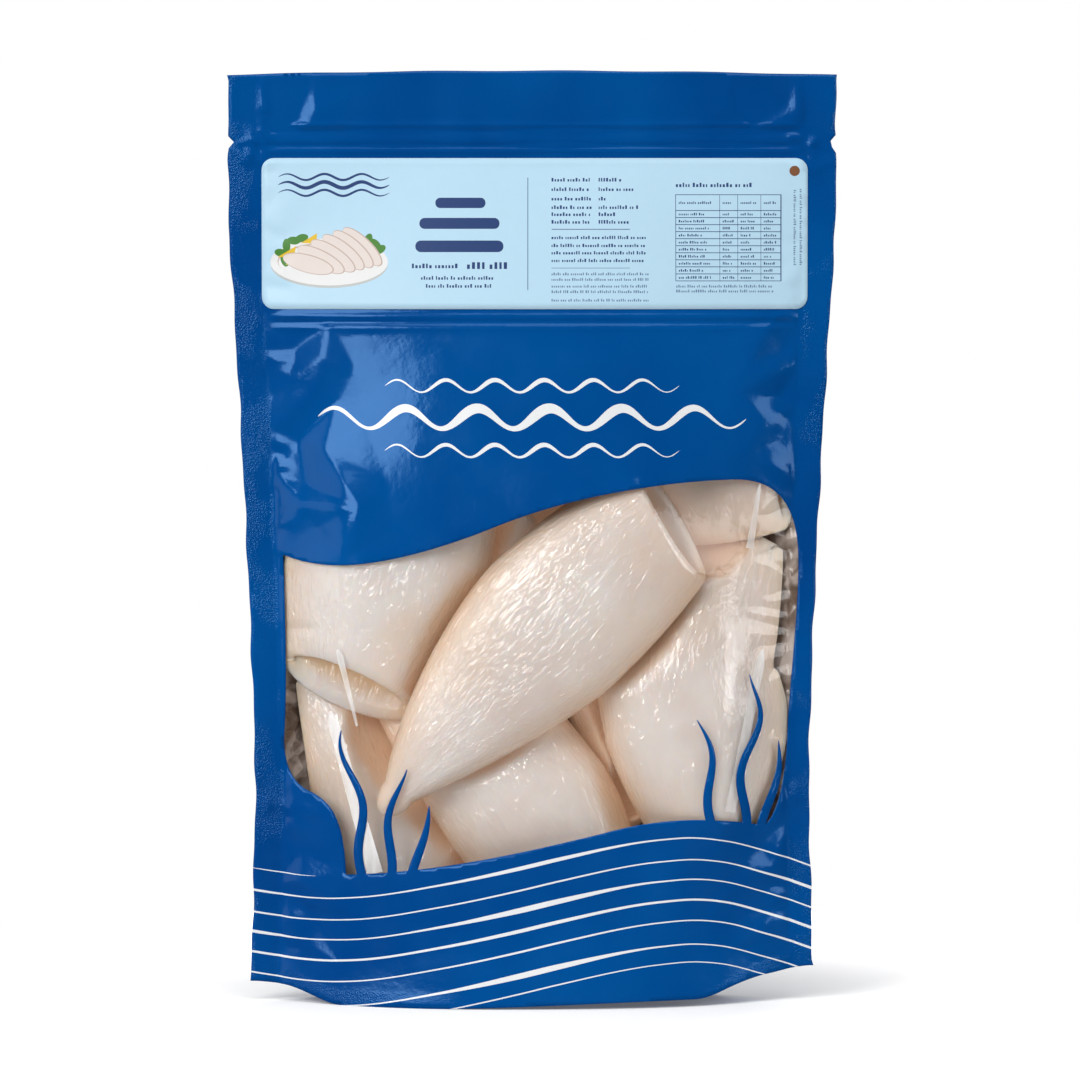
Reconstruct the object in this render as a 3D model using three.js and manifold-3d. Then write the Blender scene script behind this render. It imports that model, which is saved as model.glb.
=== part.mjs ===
// A stand-up pouch of cleaned squid tubes: a printed film pouch with a clear window in its
// front, a paper label across its header, and the squid tubes that lie inside.
// Millimetres, +Z up. The front faces -Y. The origin is on the floor, under the pouch's middle.
import * as THREE from 'three';
import { mergeVertices } from 'three/addons/utils/BufferGeometryUtils.js';
import Module from 'manifold-3d';

const wasm = await Module();
wasm.setup();

// Driving dimensions of the pouch.
const POUCH_HEIGHT = 305.5;
const HEADER_HALF_WIDTH = 99.8;
const WAIST_PULL = 8.5; // how far the filling draws each side in
const WAIST_HEIGHT = 70;
const HEADER_HEIGHT = 255; // above this the pouch keeps its flat width
const HEADER_SEAL = 10; // width of a side seal at the header
const WAIST_SEAL = 7.4; // and as it shows lower down, where it turns away
const SEAL_HALF_THICKNESS = 0.45;
const SEAL_WAVE = 1.1; // how far the side seals wander to the front and back
const SIDE_SLOPE = 1.1; // how steeply the film can rise from a side seal
const SIDE_TAPER = 22; // over this width beside a seal the contents lie flatter and flatter
const TOP_SEAL_START = 275; // above this both films lie flat together
const TOP_EDGE_SAG = 1.4; // the top corners are this much lower than the middle

// Driving dimensions of the base, where a folded gusset opens to an oval.
const BASE_HALF_DEPTH = 28;
const BASE_HALF_WIDTH = 84;
const LEFT_CORNER = { flat: 62, lift: 6.2 }; // the base lies on the floor out to flat, and
const RIGHT_CORNER = { flat: 53, lift: 11.4 }; // its corner stands off the floor by lift

// Film, with walls thicker than the real 0.1 mm so that they are solid bodies.
const WALL = 1.2;
const WINDOW_THICKNESS = 0.7;
const LABEL_THICKNESS = 0.4;
const GAP = 0.35; // left between pieces that touch
const FILM_CLEARANCE = 0.9; // and between the tubes and the film

// The press-to-close strip: ribs across the pouch above and below the label.
const RIB_HEIGHTS = [221.3, 225.2, 279.3, 283, 287.8];
const RIB_HALF_WIDTH = 1.8;
const RIB_PROUD = 0.7;
const RIB_END_INSET = 3; // how far inside the side seals a rib stops

const NOTCH_HEIGHT = 281.8; // tear notches in both side seals
const NOTCH_RADIUS = 1.7;

// The label, off centre by a little.
const LABEL = { left: -88.6, right: 90.3, bottom: 227.5, top: 276.9, corner: 4 };

// The film's height over the plane of the seals is worked out on a grid of this spacing.
const FIELD_STEP = 3;
const FIELD_PASSES = 300;
const FIELD_STRIDE = 1.85; // over-relaxation, so that the film settles in few passes
const FIELD_SWELL = 0.008; // the little air inside rounds the free film

// The columns and levels that the pouch's surfaces are made on.
const OUTER_COLUMNS = 28;
const OUTER_LEVELS = [
  0, 5, 11, 19, 29, 41, 54, 68, 83, 99, 115, 131, 147, 163, 179, 195, 209, 241, 257, 269, 298,
  POUCH_HEIGHT,
];
const CAVITY_COLUMNS = 22;
const CAVITY_LEVELS = [0, 7, 20, 38, 58, 78, 98, 118, 138, 158, 178, 198, 216];

// The squid tubes. Each path runs from the open mouth to the closed tip as [x, y, z], width
// is the tube's greatest width, mouth the width of its open end, and flat its thickness as a
// share of its width. widest is the share of the length at which it is widest. slant is how
// far the mouth's back edge reaches past its front edge, and skew does the same sideways.
const TUBES = {
  squid_tube_centre: {
    path: [[44, -14, 158], [6.2, -15, 124.2], [-32, -15, 84.3], [-49, -15, 62.7]],
    width: 56, mouth: 46, flat: 0.45, widest: 0.37, slant: 8, skew: 9, layer: 1,
  },
  squid_tube_upper_left: {
    path: [[-59.9, -9, 105.5], [-47.6, -8, 144.5], [-32.4, -4, 178.1], [-21, -1, 210.1]],
    width: 66, mouth: 47, flat: 0.38, widest: 0.42, slant: 17, skew: 5, layer: 2,
  },
  squid_tube_upper_right: {
    path: [[81, -1, 174.7], [66.8, 3, 173.9], [48.8, 7, 173.8], [22.4, 9, 181.6], [-6.6, 7, 198.2]],
    width: 48, mouth: 40, flat: 0.38, widest: 0.35, slant: 3, skew: 0, layer: 3,
  },
  squid_tube_right: {
    path: [
      [67, 10, 153.9], [57.5, 1, 131.9], [50.5, -4, 110.8], [53.8, -6, 92.2], [55.2, -6, 76.4],
      [57.6, -3, 32.3],
    ],
    width: 61, mouth: 34, flat: 0.42, widest: 0.53, slant: 4, skew: 0, layer: 4,
  },
  squid_tube_lower_middle: {
    path: [[-33, 8, 107.7], [-7.9, -2, 73.1], [14.1, -5, 44.1], [35.5, -3, 12.8]],
    width: 56, mouth: 46, flat: 0.42, widest: 0.5, slant: 5, skew: 0, layer: 5,
  },
  squid_tube_lower_left: {
    path: [[-59.5, 11, 108.8], [-52.5, 6, 83.7], [-47.5, 5, 59], [-44.6, 4, 35.9], [-42.8, 2, 8.4]],
    width: 48, mouth: 38, flat: 0.42, widest: 0.57, slant: 5, skew: 0, layer: 6,
  },
  squid_tube_back_upper: {
    path: [[-32.4, 13, 194.1], [-4, 13, 161.7], [16.2, 13, 129.6], [28.1, 12, 94.8]],
    width: 48, mouth: 40, flat: 0.38, widest: 0.4, slant: 4, skew: 0, layer: 7,
  },
  squid_tube_back_lower: {
    path: [[-48.8, 13, 30], [-18.3, 14, 46.2], [16.2, 13, 66.6], [56.6, 12, 88.9]],
    width: 46, mouth: 40, flat: 0.38, widest: 0.4, slant: 4, skew: 0, layer: 8,
  },
};
const TUBE_WALL = 4.2;
const MOUTH_DEPTH = 22;
const RIM_ROUNDING = 1.4; // how much smaller the mouth's edge is than the tube behind it
const TIP_START = 0.93; // share of the length where the rounded tip begins
const TUBE_RINGS = 11;
const TUBE_SIDES = 18;

// Small helpers.
const clamp01 = (value) => Math.min(1, Math.max(0, value));
const smooth = (from, to, value) => {
  const share = clamp01((value - from) / (to - from));
  return share * share * (3 - 2 * share);
};

// The pouch's outline, seen from the front.
function halfWidth(z) {
  const filled = z > WAIST_HEIGHT
    ? 1 - clamp01((z - WAIST_HEIGHT) / (HEADER_HEIGHT - WAIST_HEIGHT)) ** 1.4
    : 1 - 0.2 * (1 - z / WAIST_HEIGHT);
  return HEADER_HALF_WIDTH - WAIST_PULL * filled;
}

function sealWidth(z) {
  return WAIST_SEAL + (HEADER_SEAL - WAIST_SEAL) * smooth(WAIST_HEIGHT, HEADER_HEIGHT, z);
}

function topEdge(x) {
  return POUCH_HEIGHT - TOP_EDGE_SAG * (x / HEADER_HALF_WIDTH) ** 2;
}

function baseHeight(x) {
  const { flat, lift } = x < 0 ? LEFT_CORNER : RIGHT_CORNER;
  const reach = Math.abs(x);
  return lift * (0.84 * smooth(flat, BASE_HALF_WIDTH - 2, reach) + 0.16 * smooth(78, 92, reach));
}

function baseDepth(x) {
  const share = Math.min(1, Math.abs(x) / BASE_HALF_WIDTH);
  return SEAL_HALF_THICKNESS + (BASE_HALF_DEPTH - SEAL_HALF_THICKNESS) * (1 - share ** 2.6);
}

// How far the two films' shared middle wanders from the plane of the seals.
function middle(x, z) {
  const share = x / halfWidth(z);
  return SEAL_WAVE * share ** 4 * Math.sin(z / 31 + (x < 0 ? 0.6 : 2.4));
}

// A closed geometry, with its shared points merged, as a solid that can be cut and joined.
function solidOf(geometry) {
  const plain = new THREE.BufferGeometry()
    .setAttribute('position', geometry.getAttribute('position'))
    .setIndex(geometry.index);
  const merged = mergeVertices(plain.index ? plain.toNonIndexed() : plain, 1e-4);
  return new wasm.Manifold(new wasm.Mesh({
    numProp: 3,
    vertProperties: merged.attributes.position.array,
    triVerts: new Uint32Array(merged.index.array),
  }));
}

function geometryOf(solid) {
  const mesh = solid.getMesh();
  const positions = new Float32Array(mesh.numVert * 3);
  for (let i = 0; i < mesh.numVert; i++) {
    const start = i * mesh.numProp;
    positions.set(mesh.vertProperties.subarray(start, start + 3), i * 3);
  }
  const geometry = new THREE.BufferGeometry()
    .setAttribute('position', new THREE.BufferAttribute(positions, 3))
    .setIndex(new THREE.BufferAttribute(mesh.triVerts, 1));
  const faceted = geometry.toNonIndexed();
  faceted.computeVertexNormals();
  return faceted;
}

function largestPiece(solid) {
  return solid.decompose().sort((a, b) => b.volume() - a.volume())[0];
}

// Half the width of a tube at a share t of its length, from the mouth at 0 to the tip at 1.
function tubeHalfWidth(tube, t) {
  if (t < tube.widest) {
    const back = 1 - t / tube.widest;
    return (tube.width - (tube.width - tube.mouth) * back ** 2) / 2;
  }
  const body = (share) => {
    const along = (share - tube.widest) / (1 - tube.widest);
    return (tube.width / 2) * (1 - along ** 1.5) ** 0.86;
  };
  if (t < TIP_START) return body(t);
  const into = (t - TIP_START) / (1 - TIP_START);
  return body(TIP_START) * Math.sqrt(Math.max(0, 1 - into ** 2));
}

// Tubes get rounder in section towards the tip.
function tubeHalfThickness(tube, t) {
  return tubeHalfWidth(tube, t) * (tube.flat + (0.85 - tube.flat) * smooth(0.55, 1, t));
}

const curves = new Map(Object.values(TUBES).map((tube) => [
  tube,
  new THREE.CatmullRomCurve3(tube.path.map((point) => new THREE.Vector3(...point))),
]));

// The tube's place and directions at a share t: along it, across it, and through it.
function tubeFrame(tube, t) {
  const along = curves.get(tube).getTangentAt(t);
  const across = new THREE.Vector3(0, 1, 0).cross(along).normalize();
  const through = along.clone().cross(across).normalize();
  return { centre: curves.get(tube).getPointAt(t), along, across, through };
}

// Beside the side seals the films press the contents flat. The share of a place's depth that
// is left there:
function flattening(x, z) {
  return clamp01((halfWidth(z) - sealWidth(z) - Math.abs(x) + 1) / SIDE_TAPER);
}

function settled(point) {
  point.y = point.y * flattening(point.x, point.z) + middle(point.x, point.z);
  return point;
}

function tubeRing(tube, t, grow, inset, shift) {
  const { centre, along, across, through } = tubeFrame(tube, t);
  const a = Math.max(0.4, tubeHalfWidth(tube, t) + grow - inset);
  const b = Math.max(0.3, tubeHalfThickness(tube, t) + grow - inset);
  const nearMouth = 1 - smooth(0, 0.3, t);
  const slant = 0.5 * tube.slant * nearMouth * (b / tubeHalfThickness(tube, t));
  const skew = 0.5 * tube.skew * nearMouth * (a / tubeHalfWidth(tube, t));
  const frontSide = -Math.sign(through.y);
  return Array.from({ length: TUBE_SIDES }, (_, k) => {
    const angle = (k / TUBE_SIDES) * 2 * Math.PI;
    const slip = slant * frontSide * Math.sin(angle) - skew * Math.cos(angle);
    return settled(centre.clone()
      .addScaledVector(across, a * Math.cos(angle))
      .addScaledVector(through, b * Math.sin(angle))
      .addScaledVector(along, shift + slip));
  });
}

// A closed surface through rings of equal counts, ended by a point or a fan at each end.
function surfaceThroughRings(rings, start, end) {
  const points = [start, ...rings.flat(), end];
  const count = rings[0].length;
  const faces = [];
  for (let k = 0; k < count; k++) {
    const next = (k + 1) % count;
    faces.push([0, 1 + next, 1 + k]);
    for (let r = 0; r + 1 < rings.length; r++) {
      const low = 1 + r * count;
      const high = low + count;
      faces.push([low + k, low + next, high + next], [low + k, high + next, high + k]);
    }
    const last = 1 + (rings.length - 1) * count;
    faces.push([last + k, last + next, points.length - 1]);
  }
  return new THREE.BufferGeometry()
    .setFromPoints(points)
    .setIndex(faces.flat());
}

// One squid tube: its outer skin from the tip to the rim, then its pocket from the rim in.
function tubeSolid(tube, grow) {
  const pocketEnd = MOUTH_DEPTH / curves.get(tube).getLength();
  const pocket = grow > 0 ? [] : [1, 0.5, 0].map((share) =>
    tubeRing(tube, pocketEnd * share, grow, TUBE_WALL, 0));
  const rim = [tubeRing(tube, 0, grow, grow > 0 ? 0 : RIM_ROUNDING, -grow)];
  const skin = Array.from({ length: TUBE_RINGS }, (_, r) => {
    const t = 0.02 + 0.975 * (r / (TUBE_RINGS - 1)) ** 0.9;
    return tubeRing(tube, Math.min(t, 0.995), grow, 0, 0);
  });
  const startAt = grow > 0 ? 0 : pocketEnd;
  const start = settled(tubeFrame(tube, startAt).centre
    .addScaledVector(tubeFrame(tube, startAt).along, -grow));
  const end = settled(tubeFrame(tube, 1).centre
    .addScaledVector(tubeFrame(tube, 1).along, grow));
  return solidOf(surfaceThroughRings([...pocket, ...rim, ...skin], start, end));
}

// The films stretched over the tubes, in front (side -1) or behind (side 1). Each is a height
// field over the plane of the seals: a taut membrane, held at the seals and at the base's rim,
// that the tubes push outwards.
function filmField(side) {
  const columns = Math.ceil((2 * HEADER_HALF_WIDTH) / FIELD_STEP) + 1;
  const rows = Math.ceil(POUCH_HEIGHT / FIELD_STEP) + 1;
  const xOf = (i) => (i - (columns - 1) / 2) * FIELD_STEP;
  const zOf = (j) => j * FIELD_STEP;
  const obstacle = new Float64Array(columns * rows);
  for (const tube of Object.values(TUBES)) pressTube(tube, side, obstacle, columns, rows);
  const held = (x, z) => {
    if (z <= baseHeight(x) + FIELD_STEP / 2) return baseDepth(x);
    const inside = halfWidth(z) - sealWidth(z);
    if (Math.abs(x) >= inside || z >= TOP_SEAL_START) return SEAL_HALF_THICKNESS;
    return null;
  };
  const fixed = Array.from(obstacle, (_, n) => held(xOf(n % columns), zOf(Math.floor(n / columns))));
  const height = Float64Array.from(obstacle, (value, n) => fixed[n] ?? value);
  for (let pass = 0; pass < FIELD_PASSES; pass++) {
    for (let n = columns; n < height.length - columns; n++) {
      if (fixed[n] !== null) continue;
      const mean = (height[n - 1] + height[n + 1] + height[n - columns] + height[n + columns]) / 4;
      const moved = height[n] + FIELD_STRIDE * (mean + FIELD_SWELL - height[n]);
      height[n] = Math.max(obstacle[n], moved);
    }
  }
  return (x, z) => {
    const i = Math.min(columns - 2, Math.max(0, x / FIELD_STEP + (columns - 1) / 2));
    const j = Math.min(rows - 2, Math.max(0, z / FIELD_STEP));
    const [i0, j0] = [Math.floor(i), Math.floor(j)];
    const at = (di, dj) => height[(j0 + dj) * columns + i0 + di];
    const low = at(0, 0) + (at(1, 0) - at(0, 0)) * (i - i0);
    const high = at(0, 1) + (at(1, 1) - at(0, 1)) * (i - i0);
    return low + (high - low) * (j - j0);
  };
}

// Raises the field's obstacle wherever the tube reaches on that side.
function pressTube(tube, side, obstacle, columns, rows) {
  const clearance = WALL + FILM_CLEARANCE + GAP;
  for (let step = 0; step <= 50; step++) {
    const t = step / 50;
    const { centre, across, through } = tubeFrame(tube, t);
    for (let angle = 0; angle < 2 * Math.PI; angle += 0.12) {
      const point = centre.clone()
        .addScaledVector(across, tubeHalfWidth(tube, t) * Math.cos(angle))
        .addScaledVector(through, tubeHalfThickness(tube, t) * Math.sin(angle));
      const i = Math.round(point.x / FIELD_STEP + (columns - 1) / 2);
      const j = Math.round(point.z / FIELD_STEP);
      if (i < 0 || i >= columns || j < 0 || j >= rows) continue;
      const fromSeal = halfWidth(point.z) - sealWidth(point.z) - Math.abs(point.x);
      const steepest = SEAL_HALF_THICKNESS + SIDE_SLOPE * Math.max(0, fromSeal);
      const depth = side * point.y * flattening(point.x, point.z) + clearance;
      const n = j * columns + i;
      obstacle[n] = Math.max(obstacle[n], Math.min(depth, steepest));
    }
  }
}

const frontFilm = filmField(-1);
const backFilm = filmField(1);

// A closed body between a front and a back surface, on a grid of columns and levels.
function bodyBetween(columns, levels, place) {
  const points = [];
  const rows = levels.length - 1;
  const indexOf = (side, i, j) => side * (columns + 1) * (rows + 1) + j * (columns + 1) + i;
  for (const side of [-1, 1]) {
    for (const level of levels) {
      for (let i = 0; i <= columns; i++) points.push(place((2 * i) / columns - 1, level, side));
    }
  }
  const faces = [];
  const quad = (a, b, c, d) => faces.push(a, b, c, a, c, d);
  for (let j = 0; j < rows; j++) {
    for (let i = 0; i < columns; i++) {
      quad(indexOf(0, i, j), indexOf(0, i + 1, j), indexOf(0, i + 1, j + 1), indexOf(0, i, j + 1));
      quad(indexOf(1, i, j), indexOf(1, i, j + 1), indexOf(1, i + 1, j + 1), indexOf(1, i + 1, j));
    }
    quad(indexOf(0, 0, j), indexOf(0, 0, j + 1), indexOf(1, 0, j + 1), indexOf(1, 0, j));
    const end = columns;
    quad(indexOf(0, end, j), indexOf(1, end, j), indexOf(1, end, j + 1), indexOf(0, end, j + 1));
  }
  for (let i = 0; i < columns; i++) {
    quad(indexOf(0, i, 0), indexOf(1, i, 0), indexOf(1, i + 1, 0), indexOf(0, i + 1, 0));
    quad(indexOf(0, i, rows), indexOf(0, i + 1, rows), indexOf(1, i + 1, rows), indexOf(1, i, rows));
  }
  return solidOf(new THREE.BufferGeometry().setFromPoints(points).setIndex(faces));
}

// The outer form's rows: the plain ones, and three for each rib.
function outerLevels() {
  const ribs = RIB_HEIGHTS.flatMap((rib) => [rib - RIB_HALF_WIDTH, rib, rib + RIB_HALF_WIDTH]);
  return [...OUTER_LEVELS, ...ribs]
    .sort((a, b) => a - b)
    .filter((level, i, all) => i === 0 || level - all[i - 1] > 0.7);
}

// How far the ribs stand off the film at this place.
function ribLift(x, level) {
  const end = halfWidth(level) - sealWidth(level) - RIB_END_INSET;
  const inside = 1 - smooth(end - 4, end, Math.abs(x));
  const nearest = Math.min(...RIB_HEIGHTS.map((rib) => Math.abs(level - rib)));
  return RIB_PROUD * inside * Math.max(0, 1 - nearest / RIB_HALF_WIDTH);
}

// Sets the columns closer together towards the seals.
function spread(across) {
  const angle = (Math.PI / 2) * 0.86;
  return Math.sin(across * angle) / Math.sin(angle);
}

// The pouch's whole outer form, grown outwards by grow.
function pouchForm(grow) {
  return bodyBetween(OUTER_COLUMNS, outerLevels(), (across, level, side) => {
    const x = spread(across) * halfWidth(level);
    const z = baseHeight(x) + (topEdge(x) - baseHeight(x)) * (level / POUCH_HEIGHT);
    const film = (side < 0 ? frontFilm(x, z) : backFilm(x, z)) + ribLift(x, level);
    return new THREE.Vector3(x, middle(x, z) + side * (film + grow), z);
  });
}

// The space inside, between films of WALL thickness, drawn in on every side by shrink.
function cavityForm(shrink) {
  const top = CAVITY_LEVELS.at(-1);
  return bodyBetween(CAVITY_COLUMNS, CAVITY_LEVELS, (across, level, side) => {
    const x = spread(across) * (halfWidth(level) - sealWidth(level) - 1.2);
    const low = baseHeight(x) + WALL;
    const z = low + (top - low) * (level / top);
    const film = side < 0 ? frontFilm(x, z) : backFilm(x, z);
    const half = Math.max(0.3 - 0.15 * Math.sign(shrink), film - WALL - shrink);
    const drawnIn = 1 - (2 * shrink) / top;
    return new THREE.Vector3(
      x * drawnIn,
      middle(x, z) + side * half,
      top / 2 + (z - top / 2) * drawnIn,
    );
  });
}

// The clear window's outline: a wave along the top, the side seals, and a wave below.
function windowShape() {
  const outline = new THREE.Shape();
  outline.moveTo(-81, 146.5);
  outline.bezierCurveTo(-66, 141.2, -42, 144.5, -10, 157.7);
  outline.bezierCurveTo(12, 166.5, 40, 171.6, 66, 171.9);
  outline.bezierCurveTo(76, 172, 82.2, 168, 82.2, 158);
  outline.lineTo(82.2, 73);
  outline.quadraticCurveTo(80.5, 62, 76.2, 58.1);
  outline.bezierCurveTo(64, 62, 44, 63.2, 22, 57);
  outline.bezierCurveTo(-2, 51.5, -30, 44.6, -60.8, 42.6);
  outline.bezierCurveTo(-61.5, 58, -64, 66, -73, 69.5);
  outline.quadraticCurveTo(-81, 73, -81, 86);
  outline.closePath();
  return outline;
}

function labelShape() {
  const { left, right, bottom, top, corner } = LABEL;
  const outline = new THREE.Shape();
  outline.moveTo(left + corner, bottom);
  outline.lineTo(right - corner, bottom);
  outline.absarc(right - corner, bottom + corner, corner, -Math.PI / 2, 0);
  outline.absarc(right - corner, top - corner, corner, 0, Math.PI / 2);
  outline.absarc(left + corner, top - corner, corner, Math.PI / 2, Math.PI);
  outline.absarc(left + corner, bottom + corner, corner, Math.PI, 1.5 * Math.PI);
  return outline;
}

// A prism of a front outline, from well before the pouch to the plane of its seals. inset
// draws its sides in.
function frontPrism(shape, segments, inset) {
  const geometry = new THREE.ExtrudeGeometry(shape, {
    depth: 60,
    bevelEnabled: false,
    curveSegments: segments,
  });
  geometry.rotateX(Math.PI / 2);
  geometry.computeBoundingBox();
  const centre = geometry.boundingBox.getCenter(new THREE.Vector3());
  const size = geometry.boundingBox.getSize(new THREE.Vector3());
  geometry.translate(-centre.x, 0, -centre.z);
  geometry.scale(1 - (2 * inset) / size.x, 1, 1 - (2 * inset) / size.z);
  geometry.translate(centre.x, 0, centre.z);
  return solidOf(geometry);
}

function notchSolid(side) {
  const geometry = new THREE.CylinderGeometry(NOTCH_RADIUS, NOTCH_RADIUS, 12, 16);
  geometry.translate(side * halfWidth(NOTCH_HEIGHT), 0, NOTCH_HEIGHT);
  return solidOf(geometry);
}

function pouchSolid() {
  return largestPiece(pouchForm(0)
    .subtract(notchSolid(-1))
    .subtract(notchSolid(1))
    .subtract(cavityForm(0))
    .subtract(frontPrism(windowShape(), 9, 0)));
}

function windowSolid() {
  return largestPiece(frontPrism(windowShape(), 9, GAP)
    .intersect(pouchForm(0))
    .subtract(pouchForm(-WINDOW_THICKNESS)));
}

function labelSolid() {
  return largestPiece(frontPrism(labelShape(), 4, 0)
    .intersect(pouchForm(GAP + LABEL_THICKNESS))
    .subtract(pouchForm(GAP)));
}

// The tubes, from the front layer to the back: each is pressed flat where it meets the film
// or a tube in front of it.
function tubeSolids() {
  const room = cavityForm(FILM_CLEARANCE);
  const placed = [];
  const entries = Object.entries(TUBES).sort((a, b) => a[1].layer - b[1].layer);
  return entries.map(([name, tube]) => {
    let solid = tubeSolid(tube, 0).intersect(room);
    for (const other of placed) solid = solid.subtract(other);
    placed.push(tubeSolid(tube, GAP));
    return [name, largestPiece(solid)];
  });
}

// Materials, with the colours of the object.
const printedFilm = new THREE.MeshStandardMaterial({ color: '#014b8f', roughness: 0.28 });
const clearFilm = new THREE.MeshStandardMaterial({
  color: '#eef3f5', roughness: 0.08, transparent: true, opacity: 0.25,
});
const labelPaper = new THREE.MeshStandardMaterial({ color: '#c2e4f7', roughness: 0.45 });
const squidFlesh = new THREE.MeshStandardMaterial({ color: '#e7dad2', roughness: 0.3 });

function namedMesh(name, solid, material) {
  const mesh = new THREE.Mesh(geometryOf(solid), material);
  mesh.name = name;
  return mesh;
}

const pack = new THREE.Group();
pack.name = 'squid_tube_pouch';
pack.add(namedMesh('pouch', pouchSolid(), printedFilm));
pack.add(namedMesh('window_film', windowSolid(), clearFilm));
pack.add(namedMesh('label', labelSolid(), labelPaper));

const contents = new THREE.Group();
contents.name = 'contents';
for (const [name, solid] of tubeSolids()) contents.add(namedMesh(name, solid, squidFlesh));
pack.add(contents);

export default pack;
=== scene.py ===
import math

import bpy
import numpy as np
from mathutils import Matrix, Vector, geometry


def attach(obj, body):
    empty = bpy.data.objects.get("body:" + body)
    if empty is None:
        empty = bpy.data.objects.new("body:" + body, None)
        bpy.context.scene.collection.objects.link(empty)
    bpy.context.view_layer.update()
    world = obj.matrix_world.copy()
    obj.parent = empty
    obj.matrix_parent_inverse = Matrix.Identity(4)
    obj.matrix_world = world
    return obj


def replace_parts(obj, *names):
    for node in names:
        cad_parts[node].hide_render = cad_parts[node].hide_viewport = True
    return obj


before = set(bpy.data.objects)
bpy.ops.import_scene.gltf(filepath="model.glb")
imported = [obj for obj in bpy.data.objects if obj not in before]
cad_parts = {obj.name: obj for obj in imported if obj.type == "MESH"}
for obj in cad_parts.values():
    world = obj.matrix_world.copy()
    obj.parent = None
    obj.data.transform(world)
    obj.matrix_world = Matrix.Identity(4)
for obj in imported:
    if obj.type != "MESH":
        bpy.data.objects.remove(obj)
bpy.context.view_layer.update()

MM = 0.001

# The pouch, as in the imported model.
POUCH_HEIGHT = 305.5
HEADER_HALF_WIDTH = 99.8
WAIST_PULL = 8.5
WAIST_HEIGHT = 70
HEADER_HEIGHT = 255
HEADER_SEAL = 10
WAIST_SEAL = {-1: 9.6, 1: 7.4}  # the left seal shows wider than the right one at the waist
SEAL_HALF_THICKNESS = 0.45
SEAL_WAVE = 1.1
SIDE_SLOPE = 1.1
SIDE_TAPER = 22
TOP_SEAL_START = 275
TOP_EDGE_SAG = 1.4
BASE_HALF_DEPTH = 28
BASE_HALF_WIDTH = 84
LEFT_CORNER = (62, 6.2)  # where the base leaves the floor, and how far its corner stands off it
RIGHT_CORNER = (53, 11.4)
RIM_RISE = 2.4  # the front rim rises by this towards the right corner
NOTCH_HEIGHT = 281.8
NOTCH_RADIUS = 1.7
LABEL_LEFT, LABEL_RIGHT = -88.6, 90.3
LABEL_BOTTOM, LABEL_TOP = 227.5, 276.9
LABEL_CORNER = 4
FILM_CLEARANCE = 2.45  # from a tube's surface to the film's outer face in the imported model

# The real film.
FILM_THICKNESS = 0.14
FILM_SINK = 0.2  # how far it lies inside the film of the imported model
LEAST_RISE = 0.22  # from the plane of the seals to the outer face
LABEL_DEPTHS = (-0.3, -0.06)  # of the label's front and back, below the film's outer face
WINDOW_DEPTHS = (FILM_THICKNESS + 0.1, FILM_THICKNESS + 0.2)  # of the clear film's two faces
SHOULDER = 4.5  # how softly the film's steep sides turn into its front
FIELD_STEP = 1.0
GRID_STEP = {-1: 1.15, 1: 1.25}  # of the front film and of the back film

# The squid tubes, from the front layer to the back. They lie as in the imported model, apart from
# the two back ones, whose lines run a little lower to fill the gaps between the others.
TUBES = {
    "squid_tube_centre": dict(
        path=[(44, -14, 158), (6.2, -15, 124.2), (-32, -15, 84.3), (-49, -15, 62.7)],
        width=56, mouth=46, flat=0.45, widest=0.37, slant=8, skew=9),
    "squid_tube_upper_left": dict(
        path=[(-59.9, -9, 105.5), (-47.6, -8, 144.5), (-32.4, -4, 178.1), (-21, -1, 210.1)],
        width=66, mouth=47, flat=0.38, widest=0.42, slant=17, skew=5),
    "squid_tube_upper_right": dict(
        path=[(81, -1, 174.7), (66.8, 3, 173.9), (48.8, 7, 173.8), (22.4, 9, 181.6),
              (-6.6, 7, 198.2)],
        width=48, mouth=40, flat=0.38, widest=0.35, slant=3, skew=0),
    "squid_tube_right": dict(
        path=[(67, 10, 153.9), (57.5, 1, 131.9), (50.5, -4, 110.8), (53.8, -6, 92.2),
              (55.2, -6, 76.4), (57.6, -3, 32.3)],
        width=61, mouth=34, flat=0.42, widest=0.53, slant=4, skew=0),
    "squid_tube_lower_middle": dict(
        path=[(-33, 8, 107.7), (-7.9, -2, 73.1), (14.1, -5, 44.1), (35.5, -3, 12.8)],
        width=56, mouth=46, flat=0.42, widest=0.5, slant=5, skew=0),
    "squid_tube_lower_left": dict(
        path=[(-59.5, 11, 108.8), (-52.5, 6, 83.7), (-47.5, 5, 59), (-44.6, 4, 35.9),
              (-42.8, 2, 8.4)],
        width=48, mouth=38, flat=0.42, widest=0.57, slant=5, skew=0),
    "squid_tube_back_upper": dict(
        path=[(-32.4, 13, 194.1), (-4, 13, 161.7), (16.2, 13, 129.6), (22, 12, 98),
              (24, 10, 70)],
        width=48, mouth=40, flat=0.38, widest=0.4, slant=4, skew=0),
    "squid_tube_back_lower": dict(
        path=[(-48.8, 13, 30), (-18.3, 14, 46.2), (16.2, 13, 64), (58, 12, 78)],
        width=46, mouth=40, flat=0.38, widest=0.4, slant=4, skew=0),
}
TUBE_WALL = 4.2
MOUTH_DEPTH = 22
TIP_START = 0.93
TUBE_RINGS, TIP_RINGS, MOUTH_RINGS, RIM_RINGS = 110, 12, 16, 6
TUBE_SIDES = 96
LINE_STEPS = 120  # points between two of a path's
TRACE_RINGS, TRACE_SIDES = 260, 240  # how finely a tube is traced on the grids
BEND_REACH = 9  # a ring faces along the line between two points this far from it
TUBE_SWELL = 1.3  # how much thicker a tube is than its solid, so that it lies against the film
BACK_SWELL = 14  # the same for the back layer, which fills the gaps between the other tubes
SKIN_STRETCH = 0.42  # how drawn out the skin's crinkles are along a tube

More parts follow.
